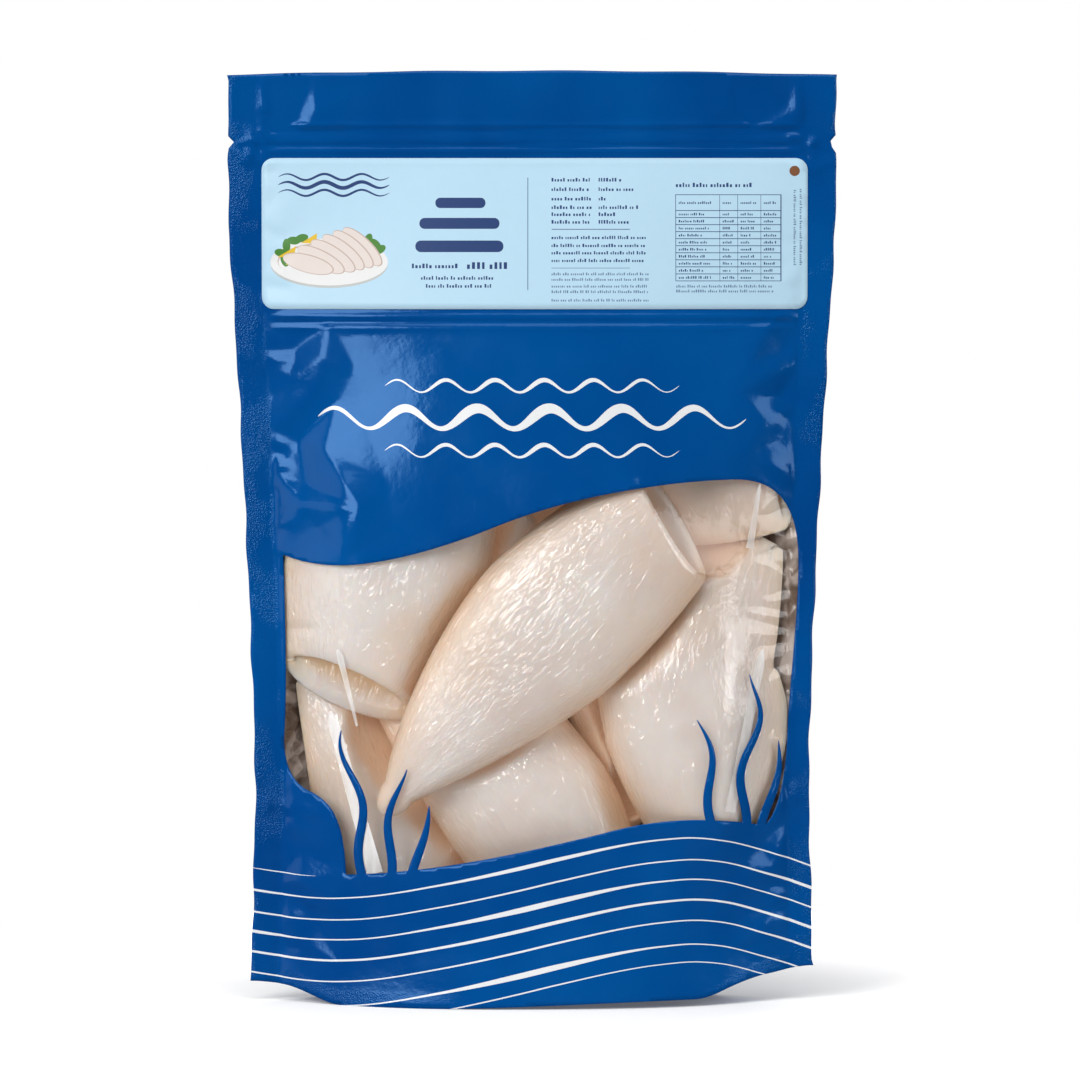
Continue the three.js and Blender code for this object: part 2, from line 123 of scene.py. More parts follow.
# The camera of the photograph.
CAMERA_ELEVATION = math.radians(2.5)
CAMERA_DISTANCE = 2000
CAMERA_TARGET = (2.63, 0, 151.67)
CAMERA_FIELD = 354.78  # millimetres across the picture at the target


# Small helpers.
def clamp01(value):
    return np.clip(value, 0, 1)


def smooth(start, end, value):
    share = clamp01((value - start) / (end - start))
    return share * share * (3 - 2 * share)


def soft_max(a, b, softness):
    """The larger of a and b, rounded off where they are within twice the softness."""
    reach = clamp01(0.5 + (a - b) / (4 * softness))
    return b + (a - b) * reach + softness * 2 * reach * (1 - reach)


def unit(vectors):
    return vectors / np.linalg.norm(vectors, axis=1)[:, None]


def hermite(t, start, leave, end, arrive):
    """A cubic curve between two values, as t goes from 0 to 1, with these slopes there."""
    return ((2 * t**3 - 3 * t**2 + 1) * start + (t**3 - 2 * t**2 + t) * leave
            + (3 * t**2 - 2 * t**3) * end + (t**3 - t**2) * arrive)


def curve_through(xs, ys, x):
    """A smooth curve through the points (xs, ys), at x."""
    xs, ys = np.array(xs, float), np.array(ys, float)
    slopes = np.gradient(ys, xs)
    i = np.clip(np.searchsorted(xs, x) - 1, 0, len(xs) - 2)
    width = xs[i + 1] - xs[i]
    return hermite((x - xs[i]) / width, ys[i], width * slopes[i], ys[i + 1],
                   width * slopes[i + 1])


def bezier(start, *segments, steps=16):
    """An outline from start through cubic segments, each (first handle, second handle, end)."""
    points = [np.array(start, float)]
    for a, b, end in segments:
        p0, p1, p2, p3 = points[-1], np.array(a), np.array(b), np.array(end)
        for k in range(1, steps + 1):
            t = k / steps
            points.append((1 - t)**3 * p0 + 3 * (1 - t)**2 * t * p1
                          + 3 * (1 - t) * t * t * p2 + t**3 * p3)
    return np.array(points)


# The pouch's outline and seals.
def half_width(z):
    above = 1 - clamp01((z - WAIST_HEIGHT) / (HEADER_HEIGHT - WAIST_HEIGHT))**1.4
    below = 1 - 0.2 * (1 - z / WAIST_HEIGHT)
    return HEADER_HALF_WIDTH - WAIST_PULL * np.where(z > WAIST_HEIGHT, above, below)


def seal_width(x, z):
    waist = np.where(x < 0, WAIST_SEAL[-1], WAIST_SEAL[1])
    return waist + (HEADER_SEAL - waist) * smooth(WAIST_HEIGHT, HEADER_HEIGHT, z)


def inside_seal(x, z):
    """How far a place is inside the inner edge of its side seal."""
    return half_width(z) - seal_width(x, z) - np.abs(x)


def top_edge(x):
    return POUCH_HEIGHT - TOP_EDGE_SAG * (x / HEADER_HALF_WIDTH)**2


def base_height(x):
    """The pouch's lower edge: it curves up to the end of the base, and a little more beside it."""
    flat, lift = (np.where(x < 0, LEFT_CORNER[k], RIGHT_CORNER[k]) for k in (0, 1))
    reach = np.abs(x)
    return lift * (0.84 * smooth(flat, BASE_HALF_WIDTH - 2, reach) + 0.16 * smooth(78, 92, reach))


def base_depth(x):
    share = np.minimum(1, np.abs(x) / BASE_HALF_WIDTH)
    return SEAL_HALF_THICKNESS + (BASE_HALF_DEPTH - SEAL_HALF_THICKNESS) * (1 - share**2.6)


def middle(x, z):
    """The y of the plane of the seals, which waves a little towards the sides."""
    share = x / half_width(z)
    return SEAL_WAVE * share**4 * np.sin(z / 31 + np.where(x < 0, 0.6, 2.4))


def flattening(x, z):
    """The share of its depth that a tube keeps, which falls towards the side seals."""
    room = half_width(z) - seal_width(1, z) - np.abs(x) + 1
    return np.maximum(0, -soft_max(-room / SIDE_TAPER, -1.0, 0.12))


# The tubes' bare form.
def tube_line(path):
    """Points along a smooth curve through the path, and how far along it each one is."""
    knots = np.array(path, float)
    knots = np.vstack([2 * knots[0] - knots[1], knots, 2 * knots[-1] - knots[-2]])
    points = []
    for i in range(1, len(knots) - 2):
        p0, p1, p2, p3 = knots[i - 1:i + 3]
        d0, d1, d2 = (np.linalg.norm(b - a)**0.5 for a, b in ((p0, p1), (p1, p2), (p2, p3)))
        leave = d1 * ((p1 - p0) / d0 - (p2 - p0) / (d0 + d1) + (p2 - p1) / d1)
        arrive = d1 * ((p2 - p1) / d1 - (p3 - p1) / (d1 + d2) + (p3 - p2) / d2)
        points.append(hermite(np.linspace(0, 1, LINE_STEPS)[:, None], p1, leave, p2, arrive))
    points = np.vstack([points[0], *[stretch[1:] for stretch in points[1:]]])
    lengths = np.r_[0, np.cumsum(np.linalg.norm(np.diff(points, axis=0), axis=1))]
    return points, lengths


def tube_frames(tube, t):
    """The line's points at the shares t, and its directions along, across and through."""
    points, lengths = tube["line"]
    def point_at(length):
        length = np.clip(length, 0, lengths[-1])
        return np.stack([np.interp(length, lengths, points[:, k]) for k in range(3)], axis=1)
    at = t * lengths[-1]
    along = unit(point_at(at + BEND_REACH) - point_at(at - BEND_REACH))
    across = unit(np.cross((0.0, 1.0, 0.0), along))
    return point_at(at), along, across, np.cross(along, across)


def tube_half_width(tube, t):
    width, mouth, widest = tube["width"], tube["mouth"], tube["widest"]
    back = 1 - t / widest
    near = (width - (width - mouth) * back**2) / 2
    def body(share):
        along = clamp01((share - widest) / (1 - widest))
        return width / 2 * (1 - along**1.5)**0.86
    into = clamp01((t - TIP_START) / (1 - TIP_START))
    tip = body(np.full_like(t, TIP_START)) * np.sqrt(np.maximum(0, 1 - into**2))
    return np.where(t < widest, near, np.where(t < TIP_START, body(t), tip))


def tube_half_thickness(tube, t):
    return tube_half_width(tube, t) * (tube["flat"] + (0.85 - tube["flat"]) * smooth(0.55, 1, t))


def tube_rings(tube, t, swell=0.0, inset=0.0, shift=0.0, sides=TUBE_SIDES):
    """Rings round the tube at the shares t, as an array of rings by sides by 3."""
    t = np.asarray(t, float)
    centre, along, across, through = tube_frames(tube, t)
    width, thickness = tube_half_width(tube, t), tube_half_thickness(tube, t)
    a = np.maximum(0.4, width - inset)[:, None]
    b = np.maximum(0.3, thickness + swell * smooth(0, 6, thickness) - inset)[:, None]
    angle = np.arange(sides) / sides * 2 * np.pi
    near_mouth = (1 - smooth(0, 0.3, t))[:, None]
    slant = 0.5 * tube["slant"] * near_mouth * b / np.maximum(0.4, thickness + swell)[:, None]
    skew = 0.5 * tube["skew"] * near_mouth * a / np.maximum(0.4, width)[:, None]
    front_side = -np.sign(through[:, 1])[:, None]
    slip = slant * front_side * np.sin(angle) - skew * np.cos(angle) + shift
    rings = (centre[:, None] + across[:, None] * (a * np.cos(angle))[..., None]
             + through[:, None] * (b * np.sin(angle))[..., None]
             + along[:, None] * slip[..., None])
    x, z = rings[..., 0], rings[..., 2]
    rings[..., 1] = rings[..., 1] * flattening(x, z) + middle(x, z)
    return rings


for tube in TUBES.values():
    tube["line"] = tube_line(tube["path"])

# Grids over the plane of the seals, one value to each FIELD_STEP.
FIELD_X = np.arange(-104, 104 + FIELD_STEP, FIELD_STEP)
FIELD_Z = np.arange(-4, 312 + FIELD_STEP, FIELD_STEP)
GRID_X, GRID_Z = np.meshgrid(FIELD_X, FIELD_Z)


def cells_of(points):
    """The grid cells that hold these points, as (rows, columns)."""
    columns = np.round((points[..., 0] - FIELD_X[0]) / FIELD_STEP).astype(int)
    rows = np.round((points[..., 2] - FIELD_Z[0]) / FIELD_STEP).astype(int)
    return np.clip(rows, 0, len(FIELD_Z) - 1), np.clip(columns, 0, len(FIELD_X) - 1)


def spread_out(values, slope, steps):
    """Raises the cells round each one to its value less slope for each cell between them."""
    rows, columns = values.shape
    for _ in range(steps):
        padded = np.pad(values, 1, constant_values=-1e6)
        for j in range(3):
            for i in range(3):
                reach = (0, 1, 1.41)[abs(j - 1) + abs(i - 1)]
                near = padded[j:j + rows, i:i + columns]
                values = np.maximum(values, near - slope * reach)
    return values


def sample(field, x, z):
    """A field's value at any place, as a smooth B-spline through its cells."""
    i = (np.clip(x, FIELD_X[2], FIELD_X[-3]) - FIELD_X[0]) / FIELD_STEP
    j = (np.clip(z, FIELD_Z[2], FIELD_Z[-3]) - FIELD_Z[0]) / FIELD_STEP
    i0, j0 = np.floor(i).astype(int), np.floor(j).astype(int)
    total = 0
    for dj, wj in enumerate(spline_weights(j - j0)):
        for di, wi in enumerate(spline_weights(i - i0)):
            total = total + wj * wi * field[j0 + dj - 1, i0 + di - 1]
    return total


def spline_weights(t):
    return ((1 - t)**3 / 6, (3 * t**3 - 6 * t**2 + 4) / 6,
            (-3 * t**3 + 3 * t**2 + 3 * t + 1) / 6, t**3 / 6)


FILM_SWELL = 0.008 * (FIELD_STEP / 3)**2  # how much the air in the pouch domes the film
SETTLE_ROUNDS, SETTLE_PACE = 420, 1.9  # the pace moves each cell past its neighbours' mean


def film_field(side):
    """The film's height over the plane of the seals: a taut sheet that the tubes push out."""
    obstacle = np.full(GRID_X.shape, -1e6)
    for tube in TUBES.values():
        surface = tube_rings(tube, np.linspace(0, 1, TRACE_RINGS), sides=TRACE_SIDES)
        x, z = surface[..., 0], surface[..., 2]
        steepest = SEAL_HALF_THICKNESS + SIDE_SLOPE * np.maximum(0, inside_seal(x, z))
        height = -soft_max(-side * surface[..., 1] - FILM_CLEARANCE, -steepest, SHOULDER)
        np.maximum.at(obstacle, cells_of(surface), height)
    at_base = GRID_Z <= base_height(GRID_X) + 1.5
    at_seal = (inside_seal(GRID_X, GRID_Z) <= 0) | (GRID_Z >= TOP_SEAL_START)
    held = np.where(at_base, base_depth(GRID_X), SEAL_HALF_THICKNESS)
    free = ~(at_base | at_seal)
    height = np.where(free, np.maximum(obstacle, SEAL_HALF_THICKNESS), held)
    checker = (np.indices(height.shape).sum(0) % 2).astype(bool)
    picks = [(free & cells)[1:-1, 1:-1] for cells in (checker, ~checker)]
    inner = height[1:-1, 1:-1]
    for pick in picks * SETTLE_ROUNDS:
        mean = (height[:-2, 1:-1] + height[2:, 1:-1] + height[1:-1, :-2] + height[1:-1, 2:]) / 4
        moved = np.maximum(obstacle[1:-1, 1:-1], inner + SETTLE_PACE * (mean + FILM_SWELL - inner))
        inner[pick] = moved[pick]
    return height


FILM_FIELDS = {-1: film_field(-1), 1: film_field(1)}

# Relief of the films: ribs, folds, wrinkles beside the seals and soft waves. Outwards is
# positive.
RIBS = (  # height, half width and how far it stands out
    (221.3, 1.1, 0.35), (225.2, 1.1, 0.45), (279.3, 1.0, 0.45), (283.0, 1.5, 0.3),
    (287.8, 1.0, 0.5), (223.3, 0.7, -0.2), (285.6, 0.7, -0.25), (281.0, 0.6, -0.2),
)

SEAL_GROOVE = 0.3  # along the inner edge of each side seal

# Flat facets crushed into the front film near its seals and its base: each group's points are
# (x, z, height out of the film), and the outermost ones are at or near height 0.
FRONT_FACETS = (
    ((-85, 224, 0), (-76, 226, 0), (-66, 224, 0), (-68.3, 212.1, 1.7), (-78, 214, -0.7),
     (-79.5, 205.7, 0.5), (-86, 199.1, 0), (-72.5, 200, 0.9), (-76.4, 184.1, -1.3),
     (-68.4, 182.5, 1.5), (-85.5, 188, 0), (-73.4, 171, -1.2), (-56.4, 163.2, 1.8),
     (-75.4, 163.6, 1.2), (-70, 155.6, -0.9), (-82.8, 150, 0), (-84.6, 174, 0),
     (-64, 197, -0.5), (-58, 208, 0), (-54, 190, 0), (-48, 172, 0), (-46, 156, 0),
     (-62, 146, 0), (-85.8, 211, 0)),
    ((88, 224, 0), (81, 226, 0), (75.6, 218.5, 0.9), (71.5, 209.6, 1.0), (68.1, 200.1, 0.7),
     (62, 186, 0), (82.5, 214, -0.6), (77.6, 205.6, 1.3), (81, 199, -0.9), (75.6, 192, 0.8),
     (87.4, 209.3, 0), (86.6, 196, 0), (86.4, 182, 0), (79, 183, -0.5), (70, 178, 0),
     (66, 220, 0), (60, 202, 0)),
    ((-83, 76, 0), (-84, 58, 0), (-84, 38, 0), (-83, 18, 0), (-78.5, 60, 1.0), (-75, 50, -0.8),
     (-78, 40, 1.1), (-72, 30, -0.8), (-76, 20, 0.8), (-66, 34, 0.7), (-60, 44, 0),
     (-56, 28, 0), (-62, 12, 0), (-68, 62, 0)),
    ((84, 78, 0), (85, 62, 0), (85, 42, 0), (84, 22, 0), (79, 64, 0.9), (75, 52, -0.8),
     (79, 44, 0.9), (72, 34, -0.6), (76, 24, 0.7), (66, 44, 0.5), (60, 54, 0), (54, 36, 0),
     (62, 16, 0), (70, 68, 0)),
    ((-99, 303, 0), (-88, 304, 0.2), (-72, 304, 0), (-90, 294, 1.5), (-82, 290, -1.1),
     (-70, 292, 0.9), (-94, 286, 0), (-76, 285, 0), (-58, 298, 0), (-60, 287, 0)),
    ((98, 303, 0), (86, 304, 0), (66, 304, 0), (88, 292, 1.1), (76, 298, -1.8), (64, 292, 0.8),
     (92, 286, 0), (72, 286, 0), (50, 300, 0), (52, 288, 0)),
    ((38, 52, 0), (52, 56, 0), (46, 44, 0.5), (60, 36, -0.5), (54, 22, 0), (70, 44, 0),
     (36, 34, 0)),
)
# The back film has the groups beside its side seals, mirrored.
BACK_FACETS = [[(-x, z, height) for x, z, height in group] for group in FRONT_FACETS[:4]]
# Long pleats where the clear film is drawn down from the seals.
WINDOW_PLEATS = (
    (((-69, 124), (-66.2, 114), (-56, 80), (-46.6, 41)), 0.5, 3.0),
    (((78, 168), (72, 146), (67, 128)), 0.5, 3.2),
    (((77.5, 119), (71, 95), (64, 63)), 0.5, 3.0),
)
# Where short creases run out from one place, at the zip's ends and above the base's corners.
STARS = ((-85, 66.5), (84.5, 67), (-89, 284), (-91, 276), (90, 283), (92, 275))
STAR_SEED, STAR_RAYS = 23, 9
PUCKER_SEED, PUCKERS_A_SIDE = 11, 46
FACET_SCALE = 1.25
WAVE_SEED, WAVE_SWING = 5, 0.22
CRUMPLE_SEED, CRUMPLE_SWING = 17, 0.16


def puckers(side):
    """Short creases that run in from the side seals, as folds are written."""
    draw = np.random.default_rng(PUCKER_SEED + side)
    creases = []
    for edge in (-1, 1):
        for height in np.linspace(14, 272, PUCKERS_A_SIDE):
            z = height + draw.uniform(-2.5, 2.5)
            start = half_width(z) - seal_width(edge * 50.0, z)
            reach, turn = draw.uniform(5, 15), draw.uniform(-0.7, 0.7)
            ends = ((edge * start, z), (edge * (start - reach), z + turn * reach))
            creases.append((ends, draw.uniform(-0.8, 0.9), draw.uniform(2.0, 4.5)))
    return creases


def star_creases():
    draw = np.random.default_rng(STAR_SEED)
    creases = []
    for x, z in STARS:
        for turn in np.linspace(0, 2 * np.pi, STAR_RAYS, endpoint=False) + draw.uniform(0, 1):
            start, end = draw.uniform(0.3, 1.5), draw.uniform(4, 9)
            ray = np.array((np.cos(turn), 0.8 * np.sin(turn)))
            ends = (ray * start + (x, z), ray * end + (x, z))
            creases.append((ends, draw.uniform(-0.7, 1.1), draw.uniform(1.6, 2.6)))
    return creases


def crease_height(creases):
    """The grid field that a list of creases makes: each is a ridge with straight sides."""
    field = np.zeros(GRID_X.shape)
    for points, height, reach in creases:
        best = np.full(GRID_X.shape, 1e6)
        share_of = np.zeros(GRID_X.shape)
        count = len(points) - 1
        for k, (a, b) in enumerate(zip(points, points[1:])):
            dx, dz = b[0] - a[0], b[1] - a[1]
            share = clamp01(((GRID_X - a[0]) * dx + (GRID_Z - a[1]) * dz) / (dx * dx + dz * dz))
            away = np.hypot(GRID_X - a[0] - share * dx, GRID_Z - a[1] - share * dz)
            nearer = away < best
            best = np.where(nearer, away, best)
            share_of = np.where(nearer, (k + share) / count, share_of)
        taper = smooth(0, 0.25, share_of) * smooth(1, 0.7, share_of) * 0.75 + 0.25
        field += height * taper * np.maximum(0, 1 - best / reach)**1.3
    return field


def facet_height(groups):
    """The grid field of groups of flat facets, each spanning its points."""
    field = np.zeros(GRID_X.shape)
    for group in groups:
        places = np.array(group, float)
        flat = [Vector(place[:2]) for place in places]
        for triangle in geometry.delaunay_2d_cdt(flat, [], [], 0, 1e-4)[2]:
            (x0, z0, h0), (x1, z1, h1), (x2, z2, h2) = places[list(triangle)]
            area = (x1 - x0) * (z2 - z0) - (x2 - x0) * (z1 - z0)
            share1 = ((GRID_X - x0) * (z2 - z0) - (x2 - x0) * (GRID_Z - z0)) / area
            share2 = ((x1 - x0) * (GRID_Z - z0) - (GRID_X - x0) * (z1 - z0)) / area
            held = (share1 >= 0) & (share2 >= 0) & (share1 + share2 <= 1)
            field[held] = (h0 + share1 * (h1 - h0) + share2 * (h2 - h0))[held]
    return field


def run_along(angle):
    """How far each cell of the grid is along this direction."""
    return GRID_X * np.cos(angle) + GRID_Z * np.sin(angle)


def soft_waves(seed, low, high, count=14):
    """A smooth random field between about -1 and 1, with waves from low to high long."""
    draw = np.random.default_rng(seed)
    field = np.zeros(GRID_X.shape)
    for _ in range(count):
        angle, length = draw.uniform(0, np.pi), draw.uniform(low, high)
        field += np.sin(run_along(angle) * 2 * np.pi / length + draw.uniform(0, 2 * np.pi))
    return field / math.sqrt(count)


def crumple(seed, count=26):
    """Facets like those of film that has been crushed and let go."""
    draw = np.random.default_rng(seed)
    field = np.zeros(GRID_X.shape)
    for _ in range(count):
        angle, spacing = draw.uniform(0, np.pi), draw.uniform(9, 34)
        run = run_along(angle) / spacing + draw.uniform(0, 1)
        field += np.abs(run % 1 - 0.5) * spacing / 20
    return field - field.mean()


def relief_field(side):
    inside = inside_seal(GRID_X, GRID_Z)
    free = smooth(-1, 9, inside)
    facets = facet_height(FRONT_FACETS if side < 0 else BACK_FACETS)
    field = FACET_SCALE * facets * smooth(-1, 3, inside)
    field += crease_height(puckers(side)) * smooth(-3, 1, inside)
    waves = soft_waves(WAVE_SEED + side, 30, 90)
    field += WAVE_SWING * waves * free * smooth(302, 296, GRID_Z)
    near_seal = free * smooth(24, 8, inside) * smooth(275, 262, GRID_Z)
    field += CRUMPLE_SWING * crumple(CRUMPLE_SEED + side) * near_seal
    if side < 0:
        field += crease_height([*WINDOW_PLEATS, *star_creases()])
    return field * smooth(-2, 5, GRID_Z - base_height(GRID_X))


RELIEF_FIELDS = {side: relief_field(side) for side in (-1, 1)}


def rib_lift(x, z):
    inside = smooth(0, 5, inside_seal(x, z) - 1)
    groove = SEAL_GROOVE * np.exp(-(inside_seal(x, z) / 0.9)**2)
    ribs = sum(out * np.exp(-((z - at) / half)**2) for at, half, out in RIBS)
    return inside * ribs - groove * smooth(1.5, 4, z - base_height(x))


def film_y(side, x, z, depth=0.0):
    """The y at this depth below the outer face of the front film (side -1) or the back one (1)."""
    lift = sample(FILM_FIELDS[side], x, z) - FILM_SINK
    relief = sample(RELIEF_FIELDS[side], x, z) + rib_lift(x, z)
    return middle(x, z) + side * (np.maximum(LEAST_RISE, lift + relief) - depth)


def rim_height(side, x):
    rise = RIM_RISE * smooth(-40, 50, x) * smooth(82, 62, np.abs(x)) if side < 0 else 0
    return base_height(x) + rise


# Flat outlines, triangulated and laid on the films.
def inside_outline(outline, points):
    """For each point, whether the closed outline holds it."""
    found = np.zeros(len(points), bool)
    low, high = outline.min(0), outline.max(0)
    near = np.flatnonzero(np.all((points >= low) & (points <= high), axis=1))
    x, z = points[near, 0], points[near, 1]
    held = np.zeros(len(near), bool)
    for (x0, z0), (x1, z1) in zip(outline, np.roll(outline, -1, axis=0)):
        if z0 != z1:
            crosses = ((z0 > z) != (z1 > z)) & (x < x0 + (z - z0) * (x1 - x0) / (z1 - z0))
            held ^= crosses
    found[near] = held
    return found


def along_outline(outline, step):
    """Points along a closed outline, at most step apart."""
    points = []
    for a, b in zip(outline, np.roll(outline, -1, axis=0)):
        pieces = max(1, math.ceil(np.linalg.norm(b - a) / step))
        points.append(a + (b - a) * (np.arange(pieces) / pieces)[:, None])
    return np.vstack(points)


def flat_plan(outline, shapes, step, rows=()):
    """Triangles that fill an outline and keep each shape's edge as edges.

    Gives the points, the triangles, and each triangle's code: that of the last of the shapes,
    (outline, code), that holds it, or 0. Triangles with code -1 are left out.
    """
    edges_of = [along_outline(points, step) for points in [outline, *[s[0] for s in shapes]]]
    low, high = outline.min(0), outline.max(0)
    xs, zs = (np.arange(low[k] + step / 2, high[k], step) for k in (0, 1))
    grid = np.stack(np.meshgrid(xs, np.sort([*zs, *rows])), -1).reshape(-1, 2)
    grid = grid[inside_outline(outline, grid)]
    def cells_at(points):
        return np.floor((points - low) / (0.4 * step)).astype(int)
    near = [cells_at(np.vstack(edges_of)) + (i, j) for i in (-1, 0, 1) for j in (-1, 0, 1)]
    taken = set(map(tuple, np.vstack(near)))
    grid = grid[np.array([tuple(cell) not in taken for cell in cells_at(grid)])]
    links, count = [], len(grid)
    for points in edges_of:
        links += [(count + k, count + (k + 1) % len(points)) for k in range(len(points))]
        count += len(points)
    flat = [Vector(p) for p in np.vstack([grid, *edges_of])]
    made = geometry.delaunay_2d_cdt(flat, links, [], 0, 1e-4)
    points = np.array([tuple(v) for v in made[0]])
    triangles = np.array(made[2])
    centres = points[triangles].mean(1)
    codes = np.zeros(len(triangles), int)
    for shape, code in shapes:
        codes[inside_outline(shape, centres)] = code
    kept = inside_outline(outline, centres) & (codes >= 0)
    return points, triangles[kept], codes[kept]


def grid_quads(rows, columns, wrap=False):
    """The faces between rows of points, with each row closed into a ring where wrap is true."""
    first = np.arange(columns if wrap else columns - 1)
    after = (first + 1) % columns
    row = np.arange(rows - 1)[:, None] * columns
    corners = (row + first, row + after, row + after + columns, row + first + columns)
    return np.stack(corners, -1).reshape(-1, 4)


def new_piece(name, vertices, faces, materials, indices=None):
    """A mesh object of millimetre vertices that rides on the pouch."""
    mesh = bpy.data.meshes.new(name)
    mesh.from_pydata((vertices * MM).tolist(), [], faces)
    for material in materials:
        mesh.materials.append(material)
    if indices is not None:
        mesh.polygons.foreach_set("material_index", np.asarray(indices, np.int32))
    mesh.polygons.foreach_set("use_smooth", np.ones(len(mesh.polygons), bool))
    mesh.update()
    piece = bpy.data.objects.new(name, mesh)
    bpy.context.scene.collection.objects.link(piece)
    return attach(piece, "root")


def set_values(piece, name, values):
    """Stores a number or a vector for each vertex, for the piece's material to read."""
    values = np.asarray(values, np.float32)
    kind, field = ("FLOAT", "value") if values.ndim == 1 else ("FLOAT_VECTOR", "vector")
    stored = piece.data.attributes.new(name, kind, "POINT").data
    stored.foreach_set(field, values.ravel())


def shell(name, plan, side, depths, materials, lining):
    """A closed thin sheet on a flat plan, between two depths below a film's outer face."""
    points, triangles, codes = plan
    used, triangles = np.unique(triangles, return_inverse=True)
    triangles = triangles.reshape(-1, 3)
    x, z = points[used].T
    count = len(used)
    vertices = np.vstack([np.stack([x, film_y(side, x, z, depth), z], 1) for depth in depths])
    ways = np.vstack([triangles[:, pair] for pair in ([0, 1], [1, 2], [2, 0])])
    both = set(map(tuple, ways))
    rim = np.array([(a, b) for a, b in ways if (b, a) not in both])
    walls = np.stack([rim[:, 0], rim[:, 0] + count, rim[:, 1] + count, rim[:, 1]], 1)
    inward = triangles[:, ::-1] + count
    if side > 0:
        triangles, inward, walls = triangles[:, ::-1], inward[:, ::-1], walls[:, ::-1]
    faces = [*triangles.tolist(), *inward.tolist(), *walls.tolist()]
    indices = [*codes, *[lining] * len(inward), *[0] * len(walls)]
    return new_piece(name, vertices, faces, materials, indices)


# Materials. Colours are written as they look under the lamps, which are brighter than white
# paper needs, so the shader gets them linear and dimmed by that much.
LAMP_LEVEL = 1.42


def linear(code, level=LAMP_LEVEL):
    parts = [int(code[k:k + 2], 16) / 255 for k in (1, 3, 5)]
    lights = [c / 12.92 if c <= 0.04045 else ((c + 0.055) / 1.055)**2.4 for c in parts]
    return (*[light / level for light in lights], 1)


def add_node(tree, kind, inputs=None, **settings):
    """A shader node, with each input set to a value or linked to another node's output."""
    node = tree.nodes.new("ShaderNode" + kind)
    for key, value in settings.items():
        setattr(node, key, value)
    for key, value in (inputs or {}).items():
        if isinstance(value, bpy.types.NodeSocket):
            tree.links.new(value, node.inputs[key])
        else:
            node.inputs[key].default_value = value
    return node


def new_material(name):
    """A material with an empty node tree, and the place on the object for its textures."""
    material = bpy.data.materials.new(name)
    material.use_nodes = True
    tree = material.node_tree
    tree.nodes.clear()
    return material, tree, add_node(tree, "TexCoord").outputs["Object"]


def finished(material, kind, inputs):
    """The material, with its surface made by one last shader."""
    tree = material.node_tree
    surface = add_node(tree, kind, inputs).outputs[0]
    add_node(tree, "OutputMaterial", {"Surface": surface})
    return material


def noise(tree, place, scale, detail=3.0, roughness=0.5, distortion=0.0):
    return add_node(tree, "TexNoise", {
        "Vector": place, "Scale": scale, "Detail": detail, "Roughness": roughness,
        "Distortion": distortion}).outputs[0]


def cells(tree, place, scale):
    return add_node(tree, "TexVoronoi", {"Vector": place, "Scale": scale}).outputs[0]


def mix_colours(tree, share, first, second):
    inputs = {0: share, 6: first, 7: second}
    return add_node(tree, "Mix", inputs, data_type="RGBA").outputs[2]


def times(tree, first, second, clamp=False):
    inputs = {0: first, 1: second}
    return add_node(tree, "Math", inputs, operation="MULTIPLY", use_clamp=clamp).outputs[0]


def steps(tree, value, low, high, out_low=0.0, out_high=1.0):
    """value, taken from the range low to high to another range, with soft ends."""
    return add_node(tree, "MapRange", {
        "Value": value, "From Min": low, "From Max": high, "To Min": out_low,
        "To Max": out_high}, interpolation_type="SMOOTHSTEP").outputs[0]


def bump(tree, height, distance, strength=1.0, normal=None):
    inputs = {"Height": height, "Distance": distance, "Strength": strength}
    if normal is not None:
        inputs["Normal"] = normal
    return add_node(tree, "Bump", inputs).outputs[0]


def attribute(tree, name, output="Fac"):
    return add_node(tree, "Attribute", attribute_name=name).outputs[output]


def film_normal(tree, place):
    """Soft waves and fine wrinkles all over the film, and a crimped texture on its seals."""
    wrinkles = bump(tree, noise(tree, place, 48, 4, 0.55), 0.0009, 0.5)
    grain = bump(tree, noise(tree, place, 700, 2), 0.00006, 0.5, wrinkles)
    patches = steps(tree, noise(tree, place, 38, 2), 0.45, 0.62)
    seal = times(tree, attribute(tree, "seal"), steps(tree, patches, 0, 1, 0.25, 1))
    return bump(tree, times(tree, cells(tree, place, 1900), seal), 0.00034, 0.7, grain)


def printed_material(name, dark, light, sheen, roughness=0.16):
    """Glossy laminated film, printed in one colour; sheen is the tint of what it mirrors."""
    material, tree, place = new_material(name)
    patches = steps(tree, noise(tree, place, 11), 0.3, 0.7)
    smears = steps(tree, noise(tree, place, 90, 4), 0.3, 0.75, roughness * 0.8, roughness * 1.35)
    return finished(material, "BsdfPrincipled", {
        "Base Color": mix_colours(tree, patches, linear(dark), linear(light)),
        "Roughness": smears, "Specular IOR Level": 0.5, "Specular Tint": sheen,
        "Normal": film_normal(tree, place)})


def clear_backing(tree):
    return add_node(tree, "BsdfTransparent", {"Color": linear("#fdfcfb", 1.0)}).outputs[0]


def clear_material():
    """Clear film: what is behind it shows, with gloss over it."""
    material, tree, place = new_material("clear_film")
    wrinkles = bump(tree, noise(tree, place, 60, 4, 0.55), 0.0006, 0.5)
    normal = bump(tree, noise(tree, place, 320, 3, 0.6, 1.2), 0.00012, 0.5, wrinkles)
    gloss = add_node(tree, "BsdfGlossy", {
        "Color": (1, 1, 1, 1), "Roughness": 0.09, "Normal": normal}).outputs[0]
    edge = add_node(tree, "Fresnel", {"IOR": 1.5, "Normal": normal}).outputs[0]
    from_inside = add_node(tree, "NewGeometry").outputs["Backfacing"]
    outside = add_node(tree, "Math", {0: 1.0, 1: from_inside}, operation="SUBTRACT").outputs[0]
    return finished(material, "MixShader", {
        0: times(tree, edge, outside), 1: clear_backing(tree), 2: gloss})


